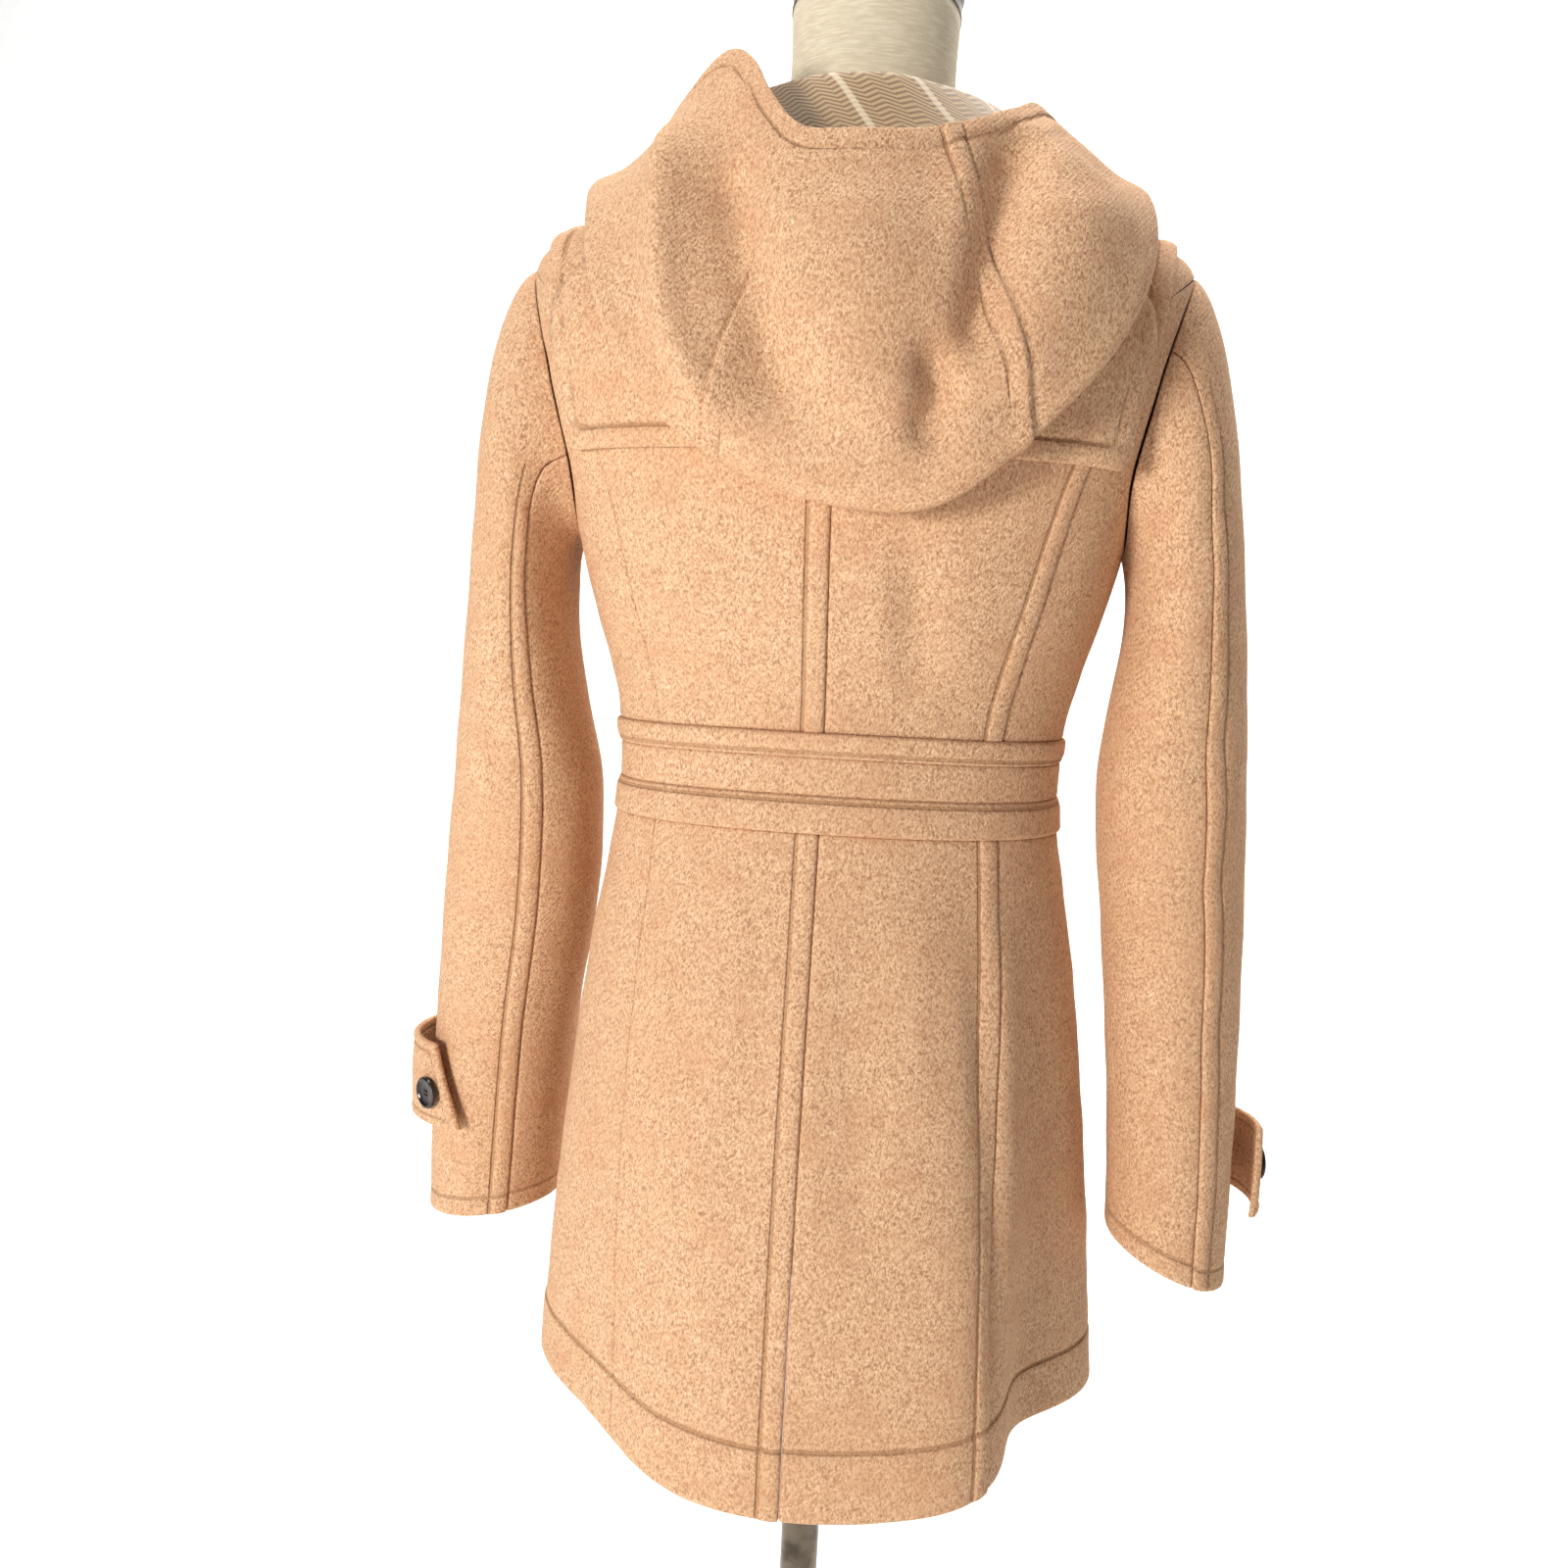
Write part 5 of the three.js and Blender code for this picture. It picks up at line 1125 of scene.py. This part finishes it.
# Front closings, four of them: a stitched wool patch on each front, a twisted cord loop from the right one and a
# horn toggle held by a cord from the left one.
CLOSINGS = (1036.0, 946.0, 782.0, 676.0)
PATCH_START, PATCH_WIDTH, PATCH_HEIGHT, PATCH_THICK, PATCH_ABOVE, PATCH_STITCH = 50.0, 34.0, 46.0, 2.4, 0.6, 6.0
TOGGLE_X, TOGGLE_R, TOGGLE_WAIST_R = 6.0, 6.2, 4.6
CORD_R = 2.0
PLY = 6.5  # the lay of the twist


def front_point(x, z, out):
    """A point above the front, at a place across and up it."""
    x, z = np.broadcast_arrays(np.asarray(x, float), np.asarray(z, float))
    theta, v = np.full(x.shape, math.pi), np.full(x.shape, 5.0)
    for _ in range(60):
        p = body_surface(theta, v)
        slope = (body_surface(theta, v + NUDGE)[..., 2] - p[..., 2]) / NUDGE
        v = v + 0.7 * (z - p[..., 2]) / slope
        theta = theta + 0.7 * (p[..., 0] - x) / per_radian(body_surface, theta, v)
    p = body_surface(theta, v)
    return body_point(theta, v, np.where(p[..., 0] < FRONT_LAP + 1, lap_rise(p), 0.0) + out)


def lofted(name, rings, finish):
    """A closed piece through rings of points in millimetres."""
    rows, cols = rings.shape[:2]
    points = np.concatenate([rings.reshape(-1, 3), rings[0].mean(0)[None], rings[-1].mean(0)[None]]) / 1000
    at = np.arange(rows * cols).reshape(rows, cols)
    nxt = np.roll(at, -1, axis=1)
    quads = np.stack([at[:-1], nxt[:-1], nxt[1:], at[1:]], -1).reshape(-1, 4).tolist()
    caps = [(rows * cols, int(b), int(a)) for a, b in zip(at[0], nxt[0])]
    caps += [(rows * cols + 1, int(a), int(b)) for a, b in zip(at[-1], nxt[-1])]
    mesh = bpy.data.meshes.new(name)
    mesh.from_pydata(points.tolist(), [], quads + caps, shade_flat=False)
    mesh.materials.append(finish)
    piece = placed(name, mesh)
    edit(piece)
    bpy.ops.mesh.normals_make_consistent(inside=False)
    bpy.ops.object.mode_set(mode="OBJECT")
    return piece


def corded(name, path):
    """A twisted two-ply cord along a path of points in millimetres, closed at both ends."""
    path = np.asarray(path, float)
    knots = np.concatenate([[0], np.cumsum(np.linalg.norm(np.diff(path, axis=0), axis=-1) ** 0.5)])
    line = read(path, np.interp(np.linspace(0, knots[-1], 400), knots, np.arange(len(path))))
    run = run_along(line)
    even = np.linspace(0, run[-1], max(24, int(run[-1] / 0.8)))
    line = np.stack([np.interp(even, run, line[:, k]) for k in range(3)], -1)
    ahead_on = unit(np.gradient(line, axis=0))
    side = [unit(np.cross(ahead_on[0], (0.2, 0.1, 1.0)))]
    for tangent in ahead_on[1:]:
        side.append(unit(side[-1] - tangent * (side[-1] @ tangent)))
    side = np.array(side)
    other = np.cross(ahead_on, side)
    turn = np.linspace(0, 2 * math.pi, 16, endpoint=False)
    size = CORD_R * (0.80 + 0.22 * np.abs(np.cos(turn - even[:, None] * math.pi / PLY)))
    size = size * np.sqrt(np.clip(np.minimum(even, even[-1] - even)[:, None] / CORD_R + 0.15, 0, 1))
    round_it = np.cos(turn)[:, None] * side[:, None] + np.sin(turn)[:, None] * other[:, None]
    as_piece(lofted(f"{name}_cord", line[:, None] + size[..., None] * round_it, CORD), [name])


waxed = Finish("waxed_brown_cord")
ply = waxed.noise(1400.0, 3.0, 0.6)
CORD = waxed.finished({
    "Base Color": waxed.mix(waxed.band(ply, 0.3, 0.7), colour(78, 52, 32), colour(132, 94, 60)),
    "Roughness": 0.68, "Normal": waxed.bump(ply, 0.0004, 0.6),
})
fine = np.array((0.8, 1.6, 3.0, 5.0, PATCH_STITCH, 7.0))
xs = np.concatenate([fine, np.linspace(9, PATCH_WIDTH - 9, 7), PATCH_WIDTH - fine[::-1]])
zs = np.concatenate([fine, np.linspace(9, PATCH_HEIGHT - 9, 10), PATCH_HEIGHT - fine[::-1]])
across, up_it = np.meshgrid(xs, zs)
gap = np.minimum(np.minimum(across, PATCH_WIDTH - across), np.minimum(up_it, PATCH_HEIGHT - up_it))
lift = seam_roll(gap) - 0.6 * hump(gap, PATCH_STITCH, 1.2) + 0.3 * (gap > 7)
marks = np.stack([np.abs(gap - PATCH_STITCH), across + up_it], -1) / 1000
toggle_half = [(0, -25), (1.8, -24.8), (3.4, -24), (4.8, -22), (5.7, -18.5), (TOGGLE_R, -13), (5.9, -8),
               (5.0, -4.6), (4.6, -3.2), (4.5, 0)]
toggle_profile = toggle_half + [(r, -z) for r, z in toggle_half[-2::-1]]
for number, z in enumerate(CLOSINGS, 1):
    for end, side in SIDE.items():
        at_x, at_z = side * (PATCH_START + across), z - PATCH_HEIGHT / 2 + up_it
        outer = front_point(at_x, at_z, PATCH_ABOVE + PATCH_THICK + lift)
        inner = front_point(at_x, at_z, PATCH_ABOVE)
        patch = closed_cloth(f"patch_{end}_{number}_cloth", outer, inner, WOOL, marks, 0.7)
        as_cloth(patch, outer, [f"patch_{end}_{number}"], [f"bodice_front_{end}"])

    def over(x, rise, above):
        return (x, float(front_point(x, z + rise, 0.0)[1]) - above, z + rise)

    start = PATCH_START - 0.3
    x = TOGGLE_X
    outward = [(-start - 2, 6, CORD_R + 1.6), (-start + 20, 6.5, CORD_R + 1), (x, 7, CORD_R + 1),
               (x + 12, 6, CORD_R + 1)]
    homeward = [(x, -rise, above) for x, rise, above in outward[::-1]]
    corded(f"loop_{number}", [over(*at) for at in [*outward, (x + 18, 0, CORD_R + 6.5), *homeward]])
    depth = float(front_point(x, z, 0.0)[1]) - 3 * CORD_R - TOGGLE_R
    reach = TOGGLE_WAIST_R + CORD_R + 0.9
    lead = [over(start + 2, 0, CORD_R + 0.8), over(FRONT_LAP + 8, 0, LAP_RISE * 0.6 + CORD_R),
            over(FRONT_LAP + 2, 0, LAP_RISE + CORD_R + 0.8), over(x + 16, 0, CORD_R + 0.9)]
    lead += [(x - reach * math.cos(turn), depth - reach * math.sin(turn), z)
             for turn in np.radians(np.linspace(-100, 165, 7))]
    corded(f"toggle_cord_{number}", lead)
    lean = math.atan2(float(front_point(x, z + 20, 0.0)[1] - front_point(x, z - 20, 0.0)[1]), 40)
    toggle = turned_on_lathe(f"toggle_{number}_horn", toggle_profile, HORN, 40)
    put(toggle, Matrix.Translation((x / 1000, depth / 1000, z / 1000)) @ Matrix.Rotation(-lean, 4, "X"))
    as_piece(toggle, [f"toggle_{number}"])


# Dress form: a padded torso without arms, covered in cream linen. It carries the coat's shoulders, and ends flat
# below the hips where the pole meets it.
FORM_UPPER = {  # sections of the body, and how far the form lies inside the coat there
    "v": (0.15, 0.8, 1.6, 2.3, 2.9, 3.4, 4, 4.6, 5.3, 6, 7, 8, 9),
    "inset": (2.4, 1.4, 0, 0, 0, 1, 2, 4, 8, 14, 19, 23, 22),
}
FORM_HIPS = ((134, 98, 94, 770), (144, 108, 100, 715), (147, 110, 100, 652), (144, 107, 97, 649))
FORM_NECK = (  # half width, half depth, middle, height and tilt
    (53, 52, -12, 1330, 0.22), (52, 51, -10, 1300, 0.2), (53, 51, -7, 1272, 0.16), (56, 52, -3, 1240, 0.1),
    (60, 54, 0, 1222, 0),
)
FORM_GAP = 2.0
FORM_ARM = 174.0
linen = Finish("cream_linen")
warp, weft = linen.wave("Z", 420.0, 1.6), linen.wave("X", 420.0, 1.6)
slub = linen.noise(90.0, 3.0, 0.6, (1.0, 1.0, 8.0))
age = linen.noise(14.0, 3.0, 0.6)
tone = linen.mix(linen.band(slub, 0.35, 0.7), colour(214, 200, 174), colour(232, 221, 198))
tone = linen.mix(linen.band(age, 0.4, 0.75) * 0.35, tone, colour(198, 182, 152))
LINEN = linen.finished({
    "Base Color": linen.mix(warp * weft * 0.35, tone, colour(190, 174, 146)), "Roughness": 0.86,
    "Normal": linen.bump(warp * 0.5 + weft * 0.5 + slub * 0.5, 0.00025, 0.6), "Sheen Weight": 0.1,
})
turns = np.linspace(0, 2 * math.pi, 96, endpoint=False)
s, c = np.sin(turns), np.cos(turns)
rings = [np.stack([half * s, y + depth * c, z + depth * c * tilt], -1)
         for half, depth, y, z, tilt in read(FORM_NECK, np.linspace(0, 4, 22))]
upper_rows = np.linspace(0, 12, 90)
for level, inset in zip(read(FORM_UPPER["v"], upper_rows), read(FORM_UPPER["inset"], upper_rows)):
    v = np.full_like(turns, level)
    inward = normal_of(body_surface, turns, v, HEM) * (WOOL_THICK + FORM_GAP + max(inset, 0.0))
    p = body_surface(turns, v) - inward
    p[:, 0] = np.clip(p[:, 0], -FORM_ARM, FORM_ARM)
    rings.append(p)
rings += [np.stack([half * s, np.where(c > 0, back, front) * c, np.full_like(c, z)], -1)
          for half, back, front, z in FORM_HIPS]
as_piece(lofted("dress_form_linen", np.array(rings), LINEN), ["dress_form"])


# Neck band and cap: a brushed metal ring round the top of the form's neck, and a domed cap in it.
metal = Finish("brushed_dark_metal")
brushed = metal.noise(60.0, 4.0, 0.6, (1.0, 1.0, 26.0))
spot = metal.noise(45.0, 3.0, 0.6)
METAL = metal.finished({
    "Base Color": metal.mix(metal.band(spot, 0.4, 0.7), colour(122, 112, 99), colour(86, 78, 68)),
    "Metallic": 0.9, "Roughness": brushed * 0.22 + 0.24, "Normal": metal.bump(brushed, 0.00008, 0.5),
})
neck_tilt = math.atan(0.22)
neck_seat = (
    Matrix.Translation((0, -0.012, 1.330)) @ Matrix.Rotation(neck_tilt, 4, "X")
    @ Matrix.Diagonal((1.0, 52.0 / 53.0 / math.cos(neck_tilt), 1.0, 1.0))
)
band = turned_on_lathe("neck_band_ring", [
    (0, 0.4), (51, 0.4), (53.0, 0.5), (53.6, 1.2), (53.6, 2.2), (53.1, 3.0), (53.1, 10.6), (53.6, 11.4),
    (53.6, 12.8), (52.8, 13.4), (51, 13.5), (0, 13.5)], METAL, 96)
as_piece(put(band, neck_seat), ["neck_band"])
cap = turned_on_lathe("neck_cap_dome", [
    (0, 13.8), (52.5, 13.8), (54.0, 14.4), (54.4, 15.4), (53.8, 16.6), (51.5, 18.4), (46.8, 20.6), (39, 22.6),
    (28, 24.0), (14, 24.5), (0, 24.6)], METAL, 96)
as_piece(put(cap, neck_seat), ["neck_cap"])


# Stand: a turned metal base, flat on the floor, with a raised hub, and a plain pole up to the form.
base = turned_on_lathe("stand_base_disc", [
    (0, 0), (166, 0), (168.6, 0.7), (170, 2.4), (170, 8.4), (169.2, 10.4), (166, 11.8), (120, 13.2), (60, 15.2),
    (40, 16.2), (31, 18.2), (26, 20.8), (24, 24), (23, 30), (22.6, 41), (22, 44.6), (20.4, 46), (0, 46),
], METAL, 96)
as_piece(base, ["stand_base"])
pole = turned_on_lathe("stand_pole_tube", [
    (0, 46.3), (15.6, 46.3), (16.2, 47.2), (16.2, 55), (15.4, 56.2), (13, 56.8), (13, 638), (14.6, 639),
    (15.4, 640.4), (15.4, 647.6), (14.8, 648.6), (0, 648.7)], METAL, 48)
as_piece(pole, ["stand_pole"])
